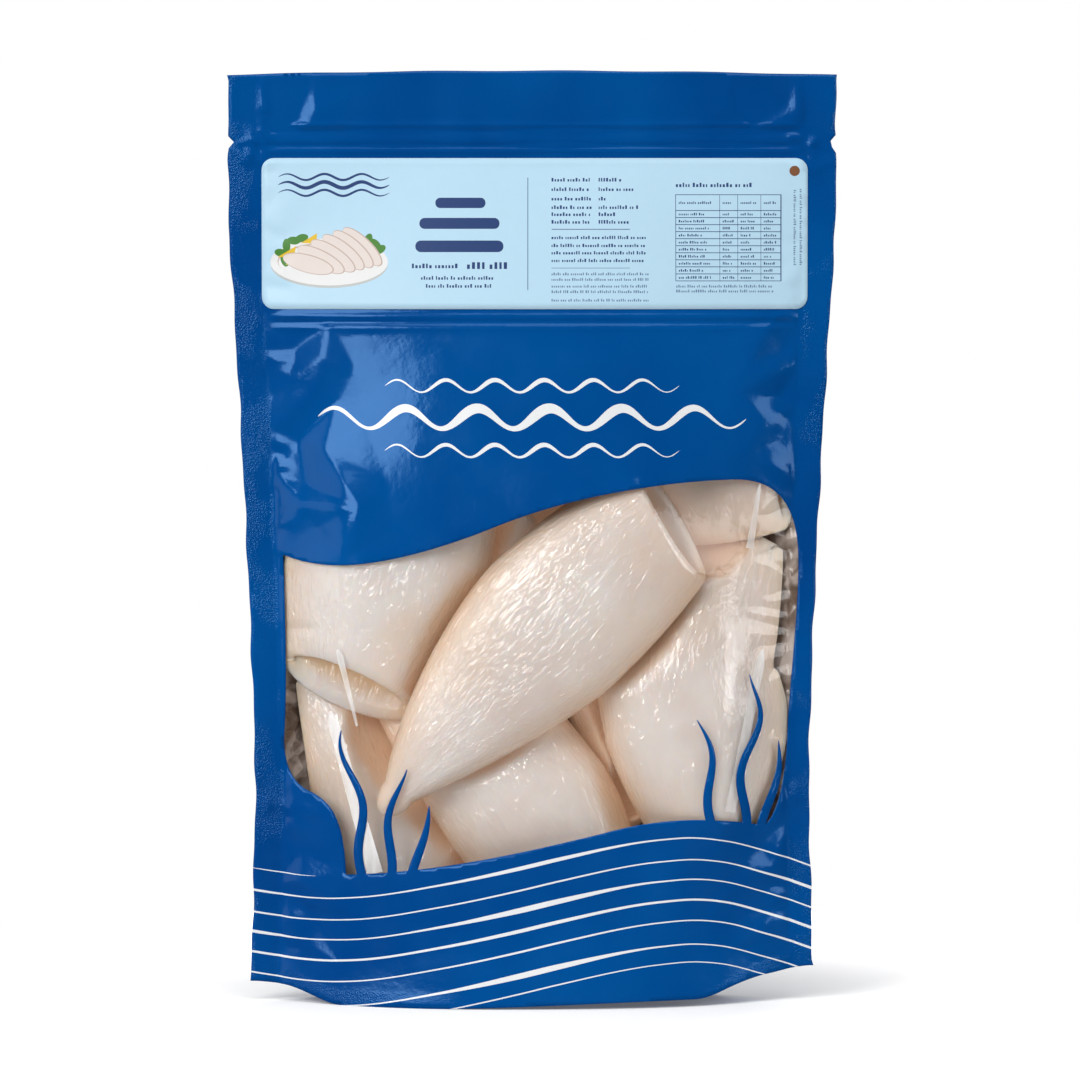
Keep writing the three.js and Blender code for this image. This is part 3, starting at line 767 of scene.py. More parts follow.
def streak_material():
    """Painted highlight on the clear film: a white streak along a taut pleat, mixed with the clear
    film in drawn-out patches.
    """
    material, tree, place = new_material("clear_film_painted_streak")
    white = {"Base Color": linear("#ffffff"), "Roughness": 0.3}
    drawn = add_node(tree, "Mapping", {"Vector": place, "Scale": (1.0, 1.0, 0.2)}).outputs[0]
    return finished(material, "MixShader", {
        0: steps(tree, noise(tree, drawn, 150), 0.25, 0.75, 0.3, 0.8), 1: clear_backing(tree),
        2: add_node(tree, "BsdfPrincipled", white).outputs[0]})


def lining_material():
    """The film's unprinted inner face: greyish, and crumpled."""
    material, tree, place = new_material("film_lining")
    share = steps(tree, noise(tree, place, 75, 2, 0.5, 1.4), 0.35, 0.65)
    return finished(material, "BsdfPrincipled", {
        "Base Color": mix_colours(tree, share, linear("#7d6a5d"), linear("#d9cdc5")),
        "Roughness": 0.2, "Normal": bump(tree, cells(tree, place, 190), 0.0022, 0.9)})


# Painted glow: emission in the flesh that stands in for the light reaching down between the tubes
# through their flesh.
PAINTED_GLOW_COLOUR = (0.105, 0.064, 0.041, 1)
# Painted warm shade on the flesh, at the tubes' sides, where tubes meet and inside the mouths: the
# mesh's value that calls for each, and its strength.
PAINTED_SHADE_TINTS = (("edge", 0.8, "#f7d5b3"), ("touch", 0.7, "#f3c79c"), ("inner", 0.9, "#ecd0a4"))


def flesh_material():
    """Wet squid: pale and a little see-through, with painted warm shade at its sides, where tubes
    meet and inside the mouths, and a painted glow far behind the front film.
    """
    material, tree, place = new_material("squid_flesh")
    clouds = steps(tree, noise(tree, place, 26, 4, 0.6), 0.3, 0.7)
    colour = mix_colours(tree, clouds, linear("#f4e8e2"), linear("#fffbf9"))
    blush = steps(tree, noise(tree, place, 17, 2), 0.46, 0.66, 0, 0.55)
    colour = mix_colours(tree, blush, colour, linear("#fae3cd"))
    # Painted warm shade: at the tubes' sides, where tubes meet and inside the mouths.
    for name, strength, warmer in PAINTED_SHADE_TINTS:
        share = times(tree, attribute(tree, name), strength, clamp=True)
        colour = mix_colours(tree, share, colour, linear(warmer))
    skin = attribute(tree, "skin", "Vector")
    where = steps(tree, noise(tree, place, 30, 2), 0.36, 0.6, 0.5, 1)
    crinkle = times(tree, noise(tree, skin, 370, 2, 0.4, 1.3), where)
    soft = bump(tree, noise(tree, skin, 85), 0.0012, 0.45)
    return finished(material, "BsdfPrincipled", {
        "Base Color": colour, "Roughness": 0.45, "Normal": soft,
        "Subsurface Weight": 0.6, "Subsurface Radius": (1.0, 0.6, 0.38),
        # The emission is a painted glow, strongest far behind the front film and inside the mouths.
        "Subsurface Scale": 0.006, "Emission Color": PAINTED_GLOW_COLOUR,
        "Emission Strength": attribute(tree, "painted_glow"), "Coat Weight": 1.0,
        "Coat Roughness": 0.08, "Coat IOR": 1.7,
        "Coat Normal": bump(tree, crinkle, 0.0015, 1.0, soft)})


PAPER_MOTTLE = 0.96  # the light of the darker spots


def paper_material(name, colour):
    """Coated label paper, or one ink on it, with the paper's faint mottle."""
    material, tree, place = new_material(name)
    full = linear(colour)
    lower = (*[part * PAPER_MOTTLE for part in full[:3]], 1)
    return finished(material, "BsdfPrincipled", {
        "Base Color": mix_colours(tree, noise(tree, place, 260, 4), lower, full),
        "Roughness": 0.42, "Specular IOR Level": 0.3,
        "Normal": bump(tree, noise(tree, place, 420), 0.00008, 0.5)})


BLUE_FILM = printed_material("printed_blue", "#00438b", "#0055a0", (0.25, 0.52, 0.88, 1))
WHITE_INK = printed_material("printed_white", "#eef2f6", "#fbfcfd", (1, 1, 1, 1), 0.24)
LINING = lining_material()
CLEAR_FILM = clear_material()
PAINTED_STREAK_FILM = streak_material()
FLESH = flesh_material()


# The films' outlines and print.
def panel_outline(side):
    """The flat outline of the front or back film, from its bottom left corner."""
    z_side = np.linspace(0, 1, 150)
    left_low, right_low = LEFT_CORNER[1], RIGHT_CORNER[1]
    bottom_x = np.linspace(-half_width(left_low), half_width(right_low), 160)
    bottom = np.stack([bottom_x, rim_height(side, bottom_x)], 1)
    def edge(which, low):
        z = low + (POUCH_HEIGHT - TOP_EDGE_SAG - low) * z_side[1:-1]
        off = np.abs(z - NOTCH_HEIGHT)
        bite = np.sqrt(np.maximum(0, NOTCH_RADIUS**2 - off**2)) * 1.1
        waver = 0.22 * np.sin(z / 5.3 + which) + 0.14 * np.sin(z / 2.9)
        fade = smooth(NOTCH_RADIUS, NOTCH_RADIUS + 4, off)
        return np.stack([which * (half_width(z) - bite + waver * fade - 0.3), z], 1)
    top_x = np.linspace(HEADER_HALF_WIDTH, -HEADER_HALF_WIDTH, 90)
    top = np.stack([top_x, top_edge(top_x) + 0.12 * np.sin(top_x / 7)], 1)
    return np.vstack([bottom, edge(1, right_low), top, edge(-1, left_low)[::-1]])


def window_outline():
    """The window: a wave along the top, the side seals' inner edges, and a wave below."""
    return bezier(
        (-81.6, 147), ((-66, 141.2), (-42, 144.5), (-10, 157.7)),
        ((12, 166.5), (40, 171.6), (66, 171.9)), ((79, 172), (86.3, 165), (87.4, 149)),
        ((88.2, 132), (84.6, 105), (84, 90)), ((83.7, 80), (82.5, 64), (76.2, 58.1)),
        ((64, 62), (44, 63.2), (22, 57)), ((-2, 51.5), (-30, 44.6), (-60.8, 42.6)),
        ((-61.5, 58), (-64, 66), (-73, 69.5)), ((-79, 72), (-81.4, 78), (-81.5, 86)),
        ((-80.2, 105), (-81, 130), (-81.6, 147)))[:-1]


def ribbon(x, z, width):
    """The outline of a line through the points (x, z), as wide as width at each."""
    run = unit(np.stack([np.gradient(x), np.gradient(z)], 1))
    off = np.stack([-run[:, 1], run[:, 0]], 1) * width[:, None] / 2
    line = np.stack([x, z], 1)
    return np.vstack([line + off, (line - off)[::-1]])


# The white stripes along the bottom all follow one wave, falling from its crest at x = 52.
WAVE_X = (-96, -80, -70, -58, -30, -4, 9, 42, 52.5, 62.6, 76.2, 91.8, 97)
WAVE_DROP = (-18.4, -20.6, -20.9, -20.2, -15.3, -9.5, -6.4, -0.5, 0, -1.2, -5.4, -11, -12.8)
STRIPES = (  # height of the crest, then the widths: least, at the swell, left end, right end
    (55.4, 0.40, 1.25, 0.35, 0.10), (48.2, 0.40, 0.55, 0.20, 0.55), (41.7, 0.38, 1.75, 0.60, 0.10),
    (35.0, 0.65, 1.15, 0.10, 0.25), (28.2, 0.40, 0.65, 0.10, 0.35), (20.4, 0.36, 1.85, 0.10, 0.15),
    (14.6, 0.32, 0.45, 0.10, 0.10),
)
FAINT_REACH, FAINT_CREST = (-96, -71), 62.6  # a short thin stripe above them at the left


def stripe_outlines():
    x = np.linspace(-96, 97, 150)
    drop = curve_through(WAVE_X, WAVE_DROP, x)
    for crest, least, swell, left, right in STRIPES:
        width = least + (swell - least) * np.exp(-((x - 1) / 27)**2)
        width += left * smooth(-72, -92, x) + right * smooth(62, 92, x)
        yield ribbon(x, crest + drop, width)
    x = np.linspace(*FAINT_REACH, 20)
    faint = FAINT_CREST + curve_through(WAVE_X, WAVE_DROP, x)
    yield ribbon(x, faint, 0.05 + 0.3 * np.sin(np.linspace(0, np.pi, 20)))


# The plain ornament across the front: three rows of rolling waves.
ORNAMENT_ROWS = (  # height, reach to each side, wavelength, swing, thickness
    (202.5, 48, 16.0, 2.0, 1.5), (192.0, 70, 23.5, 3.3, 3.4), (181.5, 48, 16.0, 2.0, 1.5),
)


def ornament_outlines():
    for height, reach, wavelength, swing, thickness in ORNAMENT_ROWS:
        x = np.linspace(-reach, reach, 240)
        z = height + swing * np.sin(2 * np.pi * x / wavelength)
        width = thickness * np.sqrt(np.maximum(0.002, 1 - (x / reach)**2))
        width *= 0.72 + 0.28 * np.sin(2 * np.pi * x / wavelength + 0.6)
        yield ribbon(x, z, width)


# Sea grass, printed over the window's lower corners: each blade is a wavy line.
BLADES = (  # foot, height, lean, swing, phase
    (68.5, 52, 0.10, 3.0, 0.4), (60.5, 38, -0.16, 2.6, 2.4), (75.0, 30, 0.22, 2.0, 4.0),
    (-47.0, 34, 0.12, 2.4, 1.0), (-54.5, 46, -0.14, 2.8, 3.2), (-39.5, 22, 0.26, 1.6, 5.0),
)
BLADE_WIDTH = 3.1
BLADE_FOOT = {-1: 38, 1: 50}  # how high up the blades begin on the left and on the right


def blade_outlines():
    for foot, height, lean, swing, phase in BLADES:
        up = np.linspace(0, 1, 60)
        start = BLADE_FOOT[1 if foot > 0 else -1]
        x = foot + height * lean * up**1.3 + swing * np.sin(up * height / 5.2 + phase) * up**0.4
        yield ribbon(x, start + (height + 6) * up, BLADE_WIDTH * (1 - 0.9 * up**3))


RIB_ROWS = [at + step for at, _, _ in RIBS for step in (-0.9, -0.45, 0.0, 0.45, 0.9)]


def seal_share(x, z):
    side = smooth(0.6, -0.6, inside_seal(x, z))
    foot = smooth(5.5, 4.5, z - base_height(x))
    return np.maximum(side, 0.5 * foot)


def make_film(side, name, shapes):
    plan = flat_plan(panel_outline(side), shapes, GRID_STEP[side], RIB_ROWS)
    piece = shell(name, plan, side, (0, FILM_THICKNESS), [BLUE_FILM, WHITE_INK, LINING], 2)
    x, _, z = np.array([v.co for v in piece.data.vertices]).T / MM
    set_values(piece, "seal", seal_share(x, z))
    return piece


stripes = [(outline, 1) for outline in stripe_outlines()]
ornament = [(outline, 1) for outline in ornament_outlines()]
blades = [(outline, 0) for outline in blade_outlines()]
front = make_film(-1, "front_film", [(window_outline(), -1), *blades, *stripes, *ornament])
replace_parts(front, "pouch")
make_film(1, "back_film", stripes)


# The clear film behind the window.
WINDOW_OVERLAP = 2.6
WINDOW_STEP = 1.0
STREAKS = (  # top of a painted white streak along a pleat, its width there, then its lower end and width
    ((-63.2, 117), 2.4, (-57.1, 91.6), 0.8), ((-66, 96), 3.6, (-51.2, 43.4), 5.2),
    ((74.7, 170.5), 1.0, (71.2, 149.3), 2.6), ((75.6, 116), 3.0, (64.6, 63.5), 3.4),
)


def grown(outline, by):
    """The outline, moved outwards by a small distance."""
    run = np.roll(outline, -1, axis=0) - np.roll(outline, 1, axis=0)
    off = unit(np.stack([run[:, 1], -run[:, 0]], 1))
    ahead = np.roll(outline, -1, axis=0)
    area = (outline[:, 0] * ahead[:, 1] - outline[:, 1] * ahead[:, 0]).sum()
    return outline + off * by * np.sign(area)


def streak_outlines():
    for (x0, z0), wide0, (x1, z1), wide1 in STREAKS:
        down = np.linspace(0, 1, 24)
        width = (wide0 + (wide1 - wide0) * down) * np.minimum(1, 9 * down + 0.3)
        yield ribbon(x0 + (x1 - x0) * down, z0 + (z1 - z0) * down, width)


def make_window():
    outline = grown(window_outline(), WINDOW_OVERLAP)
    # The streaks carry the painted highlight.
    plan = flat_plan(outline, [(streak, 1) for streak in streak_outlines()], WINDOW_STEP)
    piece = shell("window_clear_film", plan, -1, WINDOW_DEPTHS, [CLEAR_FILM, PAINTED_STREAK_FILM], 0)
    return piece


window = make_window()
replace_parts(window, "window_film")


# The gusset that closes the pouch below, folded up a little between the films' lower rims.
GUSSET_REACH = 83
GUSSET_RISE = 5
GUSSET_THICKNESS = 0.3
GUSSET_COLUMNS, GUSSET_ROWS = 171, 27


def make_gusset():
    x = np.linspace(-GUSSET_REACH, GUSSET_REACH, GUSSET_COLUMNS)
    share = np.linspace(0, 1, GUSSET_ROWS)[:, None]
    (front_y, front_z), (back_y, back_z) = (
        (film_y(side, x, rim_height(side, x), FILM_THICKNESS), rim_height(side, x))
        for side in (-1, 1))
    room = clamp01((back_y - front_y) / (2 * BASE_HALF_DEPTH))
    y = front_y + (back_y - front_y) * share
    z = front_z + (back_z - front_z) * share + 0.5
    z = z + GUSSET_RISE * room * np.sin(np.pi * share)**0.8
    z = z + 0.25 * room * np.sin(x / 3.1 + 4 * share) * np.sin(np.pi * share)
    lower = np.stack([np.broadcast_to(x, z.shape), y, z], -1).reshape(-1, 3)
    count = len(lower)
    quads = grid_quads(GUSSET_ROWS, GUSSET_COLUMNS)
    order = np.arange(count).reshape(GUSSET_ROWS, GUSSET_COLUMNS)
    ring = np.r_[order[0], order[1:, -1], order[-1, -2::-1], order[-2:0:-1, 0]]
    rim = np.stack([ring, np.roll(ring, -1), np.roll(ring, -1) + count, ring + count], 1)
    faces = [*quads[:, [0, 3, 2, 1]].tolist(), *(quads + count).tolist(), *rim.tolist()]
    indices = [0] * len(quads) + [1] * len(quads) + [0] * len(rim)
    piece = new_piece("gusset", np.vstack([lower, lower + (0, 0, GUSSET_THICKNESS)]), faces,
                      [BLUE_FILM, LINING], indices)
    return piece


make_gusset()


# The label. Its print is laid out in millimetres from its lower left corner, as (across, up).
LABEL_INKS = {
    "label_blue": "#c4e8fd", "label_navy": "#27447c", "label_grey": "#6d87ab",
    "label_white": "#f4f5f4", "label_plate": "#c9cdcb", "label_squid": "#f0e4dd",
    "label_green": "#4d8c35", "label_yellow": "#f2c832", "label_brown": "#8a5a3c",
    "label_shade": "#cdb9ae",
}
BLUE, NAVY, GREY, WHITE, PLATE, SQUID, GREEN, YELLOW, BROWN, SHADE = range(10)
TEXT_SEED = 4
LABEL_STEP = 1.5
PLATED = (  # the squid drawn on the plate, from the back: middle and turn of each
    (33.2, 20.4, -44), (30.2, 19.6, -42), (27.0, 18.6, -39), (23.6, 17.4, -34), (19.6, 16.2, -27),
    (15.4, 14.8, -15),
)
LEAVES = ((6.4, 18.4), (8.2, 20.8), (10.6, 22.4), (13.2, 23.2), (7.6, 16), (35, 22.6),
          (37.2, 21.4), (38.8, 19.4))
LEMON_SLICES = (((5.2, 17), (11.4, 20.6), (10.6, 17)), ((13, 21.6), (18.2, 24.8), (18.2, 21.4)),
                ((8, 14.4), (9.2, 17.6), (13, 16.2)))
TABLE_ROWS = [37.4, *[32.2 - 2.3 * k for k in range(11)]]
TABLE_COLUMNS = [135.7, 150.1, 156, 163.6, 170.1]


def box(left, low, right, high, radius=0.0):
    if not radius:
        return np.array([(left, low), (right, low), (right, high), (left, high)], float)
    centres = ((right - radius, low + radius), (right - radius, high - radius),
               (left + radius, high - radius), (left + radius, low + radius))
    corners = []
    for k, centre in enumerate(centres):
        angle = np.radians(np.linspace(-90 + 90 * k, 90 * k, 7))
        corners.append(radius * np.stack([np.cos(angle), np.sin(angle)], 1) + centre)
    return np.vstack(corners)


def oval(across, up, width, height, turn=0.0, sides=36):
    angle = np.arange(sides) / sides * 2 * np.pi
    u, v = width / 2 * np.cos(angle), height / 2 * np.sin(angle)
    turn = math.radians(turn)
    return np.stack([across + u * math.cos(turn) - v * math.sin(turn),
                     up + u * math.sin(turn) + v * math.cos(turn)], 1)


def words(draw, left, right, up, height, code, tall=False):
    """A line of small blocks, spaced like letters, from left to right round the height up."""
    at, shapes, letters = left, [], draw.integers(3, 8)
    while at < right - 0.4 * height:
        end = at + height * draw.uniform(0.3, 0.55)
        low = up - height / 2
        high = low + height * draw.choice((0.66, 0.66, 1.0))
        block = box(low, at, high, end) if tall else box(at, low, end, high)
        shapes.append((block, code))
        letters -= 1
        at = end + height * (0.3 if letters else 0.75)
        letters = letters or draw.integers(2, 8)
    return shapes


def label_drawing(draw):
    """Three waves, and a plain drawing of squid on a plate with leaves and slices of lemon."""
    share = np.linspace(0, 1, 60)
    fade = np.sqrt(np.maximum(0.003, 1 - (2 * share - 1)**2))
    for up, width in ((43.2, 0.8), (40.6, 1.3), (38, 0.8)):
        yield ribbon(5.4 + 36.6 * share, up + np.sin(share * 6 * np.pi), width * fade), NAVY
    yield oval(22.2, 14.6, 38.6, 15.4), PLATE
    yield oval(22.2, 15.4, 38.8, 15.4), WHITE
    yield oval(22.2, 15.6, 34, 12.4), SHADE
    yield oval(22.2, 15.3, 33.4, 12), WHITE
    for across, up in LEAVES:
        yield oval(across, up, 4.4, 2.6, draw.uniform(0, 180)), GREEN
    for slice_corners in LEMON_SLICES:
        yield np.array(slice_corners), YELLOW
    for across, up, turn in PLATED:
        yield oval(across, up, 17.4, 6.0, turn), SHADE
        yield oval(across - 0.2, up, 16.8, 5.4, turn), SQUID


def label_text(draw):
    """The bars, rules and lines of small blocks, and the table."""
    shapes = [(box(57, 33, 73.4, 36.4, 1.6), NAVY), (box(51.8, 26.2, 78, 29.8, 1.7), NAVY),
              (box(50.5, 18.6, 79.3, 22.4, 1.8), NAVY)]
    for left, right, up, height in ((49.4, 66, 14.1, 1.5), (67.4, 81, 14.2, 2.2),
                                    (52.4, 77, 10.2, 1.2), (54, 76, 7.6, 1.2)):
        shapes += words(draw, left, right, up, height, NAVY)
    shapes.append((box(87.1, 6.2, 87.4, 43), GREY))
    for up, right in ((42.3, 118), (39.2, 122), (36.1, 114), (33.3, 124), (31, 117), (28.5, 121)):
        shapes += words(draw, 95, 108, up, 1.2, NAVY) + words(draw, 110.4, right, up, 1.2, NAVY)
    shapes += [(box(95, 25.9, 120.6, 26.2), GREY), (box(95, 13.3, 120.6, 13.5), GREY)]
    for up in (23.4, 20.8, 18.4, 15.9):
        shapes += words(draw, 95, 126, up, 1.1, NAVY)
    for up in (11.5, 9.7, 7.5, 5.7, 2.95):
        shapes += words(draw, 95, 127, up, 0.9, GREY)
    shapes += words(draw, 135.7, 160.6, 40.6, 1.4, NAVY)
    shapes.append((box(135.5, 9.1, 170.3, 37.5), NAVY))
    for low, high in zip(TABLE_ROWS[1:], TABLE_ROWS):
        for left, right in zip(TABLE_COLUMNS, TABLE_COLUMNS[1:]):
            shapes.append((box(left, low + 0.12, right - 0.15, high - 0.12), BLUE))
            end = left + (right - left) * draw.uniform(0.55, 0.85)
            shapes += words(draw, left + 0.9, end, (high + low) / 2, 0.85, NAVY)
    for up in (7.5, 5.9):
        shapes += words(draw, 135.7, 168, up, 0.9, GREY)
    shapes.append((oval(174.6, 45.2, 3.4, 3.4), BROWN))
    for across in (174.7, 176.7):
        shapes += words(draw, 14.4, 39.3, across, 0.85, GREY, tall=True)
    return shapes


def make_label():
    inks = [paper_material(name, colour) for name, colour in LABEL_INKS.items()]
    outline = box(LABEL_LEFT, LABEL_BOTTOM, LABEL_RIGHT, LABEL_TOP, LABEL_CORNER)
    draw = np.random.default_rng(TEXT_SEED)
    shapes = [(points + (LABEL_LEFT, LABEL_BOTTOM), code)
              for points, code in (*label_drawing(draw), *label_text(draw))]
    plan = flat_plan(outline, shapes, LABEL_STEP)
    piece = shell("header_label", plan, -1, LABEL_DEPTHS, inks, WHITE)
    return piece


label = make_label()
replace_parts(label, "label")


# The squid tubes, pressed between the films and by the tubes in front of them.
TUBE_GAP = 0.25
TUBE_DEPTH = FILM_THICKNESS + 0.4  # how near the tubes come to the films' outer faces
LEAST_THICKNESS = 2.0
PRESS_SOFTNESS = 2.0
# The glow that these distances set is painted, by emission in the flesh.
DEEP_START, DEEP_FULL = 9, 19  # how far behind the front film the glow begins and is full
NOTHING = -60.0  # a y in front of everything, where no tube lies yet
TRACE_SLOPE, TRACE_SPREAD = 1.2, 10  # how a tube's trace falls away beside it


def across_ring(values):
    """Each ring's values, taken from the opposite face of the tube."""
    sides = values.shape[1]
    return values[:, -np.arange(sides) % sides]


def pressed(rings, behind):
    """The rings' new y where the films and the tubes in front leave them room.

    Also gives how closely each place touches a tube in front, for the painted shade where tubes
    meet, and the share of painted glow, which grows with how far behind the front film it lies.
    """
    x, y, z = np.moveaxis(rings, -1, 0)
    film_front, film_back = (film_y(side, x, z, TUBE_DEPTH) for side in (-1, 1))
    in_front = sample(behind, x, z)
    opposite = across_ring(y)
    least = np.maximum(film_front, in_front + TUBE_GAP)
    least += np.where(y > opposite, np.minimum(np.abs(y - opposite), LEAST_THICKNESS), 0)
    moved = soft_max(y, least, PRESS_SOFTNESS)
    moved = -soft_max(-moved, -film_back, PRESS_SOFTNESS)
    # How closely this place lies against a tube in front, for the painted shade where tubes meet.
    near = smooth(2.2, 0, moved - in_front) * smooth(-1.5, 1.5, in_front - film_front)
    placed = np.maximum(moved, film_front)
    return placed, near, smooth(DEEP_START, DEEP_FULL, placed - film_front)


def squeezed(rings, outer, outer_y):
    """The y of inner rings, moved as the outer rings round them have moved to outer_y."""
    before = outer[..., 1]
    span = across_ring(before) - before
    wide = np.abs(span) > 0.2
    share = clamp01((rings[..., 1] - before) / np.where(wide, span, 1))
    between = outer_y + share * (across_ring(outer_y) - outer_y)
    return np.where(wide, between, rings[..., 1] + outer_y - before)


def mouth_rings(tube, swell, behind, t):
    """The rings of a tube's inner face at the shares t, and those of its rounded rim."""
    def fitted(rings, outer):
        rings[..., 1] = squeezed(rings, outer, pressed(outer, behind)[0])
        return rings
    closing = clamp01(np.linspace(1, 0, len(t)) - 0.55) / 0.45
    inner = tube_rings(tube, t, swell, TUBE_WALL)
    inner += (inner.mean(1, keepdims=True) - inner) * (0.85 * closing**2)[:, None, None]
    turns = np.linspace(np.pi, 0, RIM_RINGS + 2)[1:-1]
    rim = np.vstack([tube_rings(tube, [0.0], swell, TUBE_WALL / 2 * (1 - math.cos(a)),
                                -TUBE_WALL / 2 * math.sin(a) * 0.8) for a in turns])
    round_rim = np.repeat(tube_rings(tube, [0.0], swell), len(turns), axis=0)
    return fitted(inner, tube_rings(tube, t, swell)), fitted(rim, round_rim)


def with_ends(rings):
    """The rings' values in a row, with the middle of the first and the last ring added."""
    flat = rings.reshape(-1, *rings.shape[2:])
    return np.concatenate([flat, [rings[0].mean(0), rings[-1].mean(0)]])


def make_tube(name, tube, swell, behind):
    length = tube["line"][1][-1]
    round_tip = np.sin(np.linspace(0, np.pi / 2, TIP_RINGS + 2)[1:-1])
    t_outer = np.r_[np.linspace(0, TIP_START, TUBE_RINGS), TIP_START + (1 - TIP_START) * round_tip]
    t_inner = np.linspace(MOUTH_DEPTH / length, 0, MOUTH_RINGS)
    outer = tube_rings(tube, t_outer, swell)
    outer[..., 1], touch, painted_glow = pressed(outer, behind)
    inner, rim = mouth_rings(tube, swell, behind, t_inner)
    rings = np.vstack([inner, rim, outer])
    x, y, z = np.moveaxis(rings, -1, 0)
    y = np.minimum(y, film_y(1, x, z, TUBE_DEPTH))
    rings[..., 1] = np.maximum(y, film_y(-1, x, z, TUBE_DEPTH))
    count = len(rings)
    faces = grid_quads(count, TUBE_SIDES, wrap=True).tolist()
    last, end = (count - 1) * TUBE_SIDES, count * TUBE_SIDES
    for k in range(TUBE_SIDES):
        m = (k + 1) % TUBE_SIDES
        faces += [(k, end, m), (last + k, last + m, end + 1)]
    piece = new_piece(name, with_ends(rings), faces, [FLESH])

    angle = np.arange(TUBE_SIDES) / TUBE_SIDES * 2 * np.pi
    # Masks for the flesh's painted warm shade (sides, inside the mouths, where tubes meet) and its
    # painted glow.
    values = {key: np.zeros((count, TUBE_SIDES)) for key in ("edge", "inner", "touch", "painted_glow")}
    values["edge"] += np.abs(np.cos(angle))**4
    values["inner"][:MOUTH_RINGS] = smooth(0, 0.35, np.linspace(1, 0, MOUTH_RINGS))[:, None]
    values["touch"][-len(outer):] = touch
    # The painted glow also lights the mouths' insides.
    values["painted_glow"] += 1.2 * values["inner"]
    values["painted_glow"][-len(outer):] = painted_glow
    along = np.r_[t_inner, np.zeros(len(rim)), t_outer] * length * SKIN_STRETCH
    half = tube["width"] / 2
    skin = np.broadcast_arrays(along[:, None], half * np.cos(angle), half * np.sin(angle))
    values["skin"] = np.stack(skin, -1) * MM
    for key, value in values.items():
        set_values(piece, key, with_ends(value))
    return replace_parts(piece, name)


def add_behind(tube, swell, behind):
    """The field of where the tubes so far end at the back, with this tube added."""
    surface = tube_rings(tube, np.linspace(0, 1, TRACE_RINGS), swell, sides=TRACE_SIDES)
    placed = np.full(GRID_X.shape, NOTHING)
    np.maximum.at(placed, cells_of(surface), pressed(surface, behind)[0])
    return np.maximum(behind, spread_out(placed, TRACE_SLOPE, TRACE_SPREAD))


behind = np.full(GRID_X.shape, NOTHING)
for name, tube in TUBES.items():
    swell = BACK_SWELL if "back" in name else TUBE_SWELL
    make_tube(name, tube, swell, behind)
    behind = add_behind(tube, swell, behind)


# The stage: a pale floor, soft lights and the camera.
WORLD_LIGHT, WORLD_MIRRORED = 0.37, 0.02
FLOOR_PLAIN, FLOOR_REACH = 0.07, 0.3  # it is plain paper up to the first and white at the second
FLOOR_SIDES = 96
LIGHT_TARGET = (0.0, 0.0, 0.15)
LIGHTS = (  # name, azimuth, elevation, distance, width, height, power
    ("key", -38, 24, 1.5, 0.85, 0.85, 17),
    ("side", -84, 10, 1.4, 0.6, 1.0, 1.6),
    ("fill", 70, 14, 1.5, 0.5, 0.8, 5),
    ("top", 0, 66, 1.4, 1.3, 0.7, 7.5),
    ("back", 152, 24, 1.5, 0.6, 0.7, 6),
)


def floor_material():
    """Matt white paper that brightens to plain white away from the object."""
    material, tree, place = new_material("floor_paper")
    away = add_node(tree, "VectorMath", {0: place}, operation="LENGTH").outputs["Value"]
    paper = mix_colours(tree, noise(tree, place, 6), linear("#f0f0f0", 1.0), linear("#f4f4f4", 1.0))
    return finished(material, "BsdfPrincipled", {
        "Base Color": paper, "Roughness": 0.9, "Specular IOR Level": 0.0,
        "Emission Color": (1, 1, 1, 1),
        "Emission Strength": steps(tree, away, FLOOR_PLAIN, FLOOR_REACH, 0.1, 1.0)})


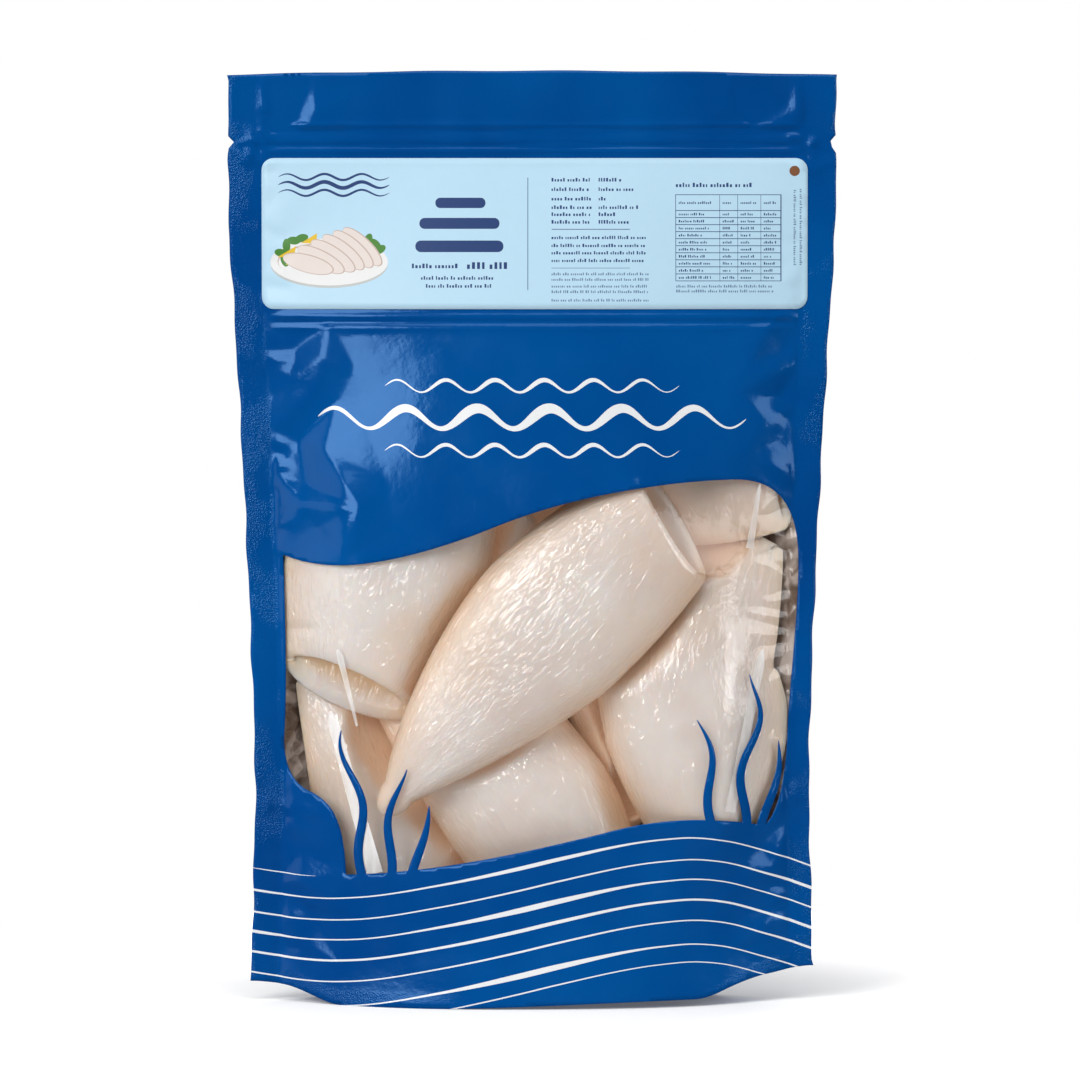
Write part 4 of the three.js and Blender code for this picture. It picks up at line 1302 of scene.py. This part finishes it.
def make_floor():
    mesh = bpy.data.meshes.new("floor")
    turns = [2 * math.pi * k / FLOOR_SIDES for k in range(FLOOR_SIDES)]
    rim = [(FLOOR_REACH * math.cos(a), FLOOR_REACH * math.sin(a), 0.0) for a in turns]
    mesh.from_pydata(rim, [], [tuple(range(FLOOR_SIDES))])
    mesh.materials.append(floor_material())
    floor = bpy.data.objects.new("floor", mesh)
    bpy.context.scene.collection.objects.link(floor)
    floor.visible_glossy = False


def aimed(obj, place, target):
    """Puts a lamp or a camera at its place, looking at the target."""
    obj.location = place
    obj.rotation_euler = (Vector(target) - Vector(place)).to_track_quat("-Z", "Y").to_euler()
    bpy.context.scene.collection.objects.link(obj)


def add_light(name, azimuth, elevation, distance, width, height, power):
    lamp = bpy.data.lights.new(name, "AREA")
    lamp.shape = "RECTANGLE"
    lamp.size, lamp.size_y = width, height
    lamp.energy = power
    turn, rise = math.radians(azimuth), math.radians(elevation)
    away = Vector((math.sin(turn) * math.cos(rise), -math.cos(turn) * math.cos(rise),
                   math.sin(rise)))
    place = Vector(LIGHT_TARGET) + distance * away
    aimed(bpy.data.objects.new(name, lamp), place, LIGHT_TARGET)


def make_world():
    """White behind the object, and a dim even light from all round."""
    world = bpy.data.worlds.new("studio")
    world.use_nodes = True
    tree = world.node_tree
    tree.nodes.clear()
    path = add_node(tree, "LightPath")
    glow = [add_node(tree, "Background", {"Color": (1, 1, 1, 1), "Strength": strength}).outputs[0]
            for strength in (WORLD_LIGHT, WORLD_MIRRORED, 1.0)]
    lit = add_node(tree, "MixShader", {0: path.outputs["Is Glossy Ray"], 1: glow[0], 2: glow[1]})
    seen = add_node(tree, "MixShader", {
        0: path.outputs["Is Camera Ray"], 1: lit.outputs[0], 2: glow[2]})
    add_node(tree, "OutputWorld", {"Surface": seen.outputs[0]})
    bpy.context.scene.world = world


def make_camera():
    lens = bpy.data.cameras.new("camera")
    lens.sensor_width = 36
    lens.lens = 36 * CAMERA_DISTANCE / CAMERA_FIELD
    camera = bpy.data.objects.new("camera", lens)
    target = Vector(CAMERA_TARGET)
    away = Vector((0, -math.cos(CAMERA_ELEVATION), math.sin(CAMERA_ELEVATION)))
    aimed(camera, (target + away * CAMERA_DISTANCE) * MM, target * MM)
    bpy.context.scene.camera = camera


make_floor()
for settings in LIGHTS:
    add_light(*settings)
make_world()
make_camera()
bpy.context.scene.view_settings.view_transform = "Standard"
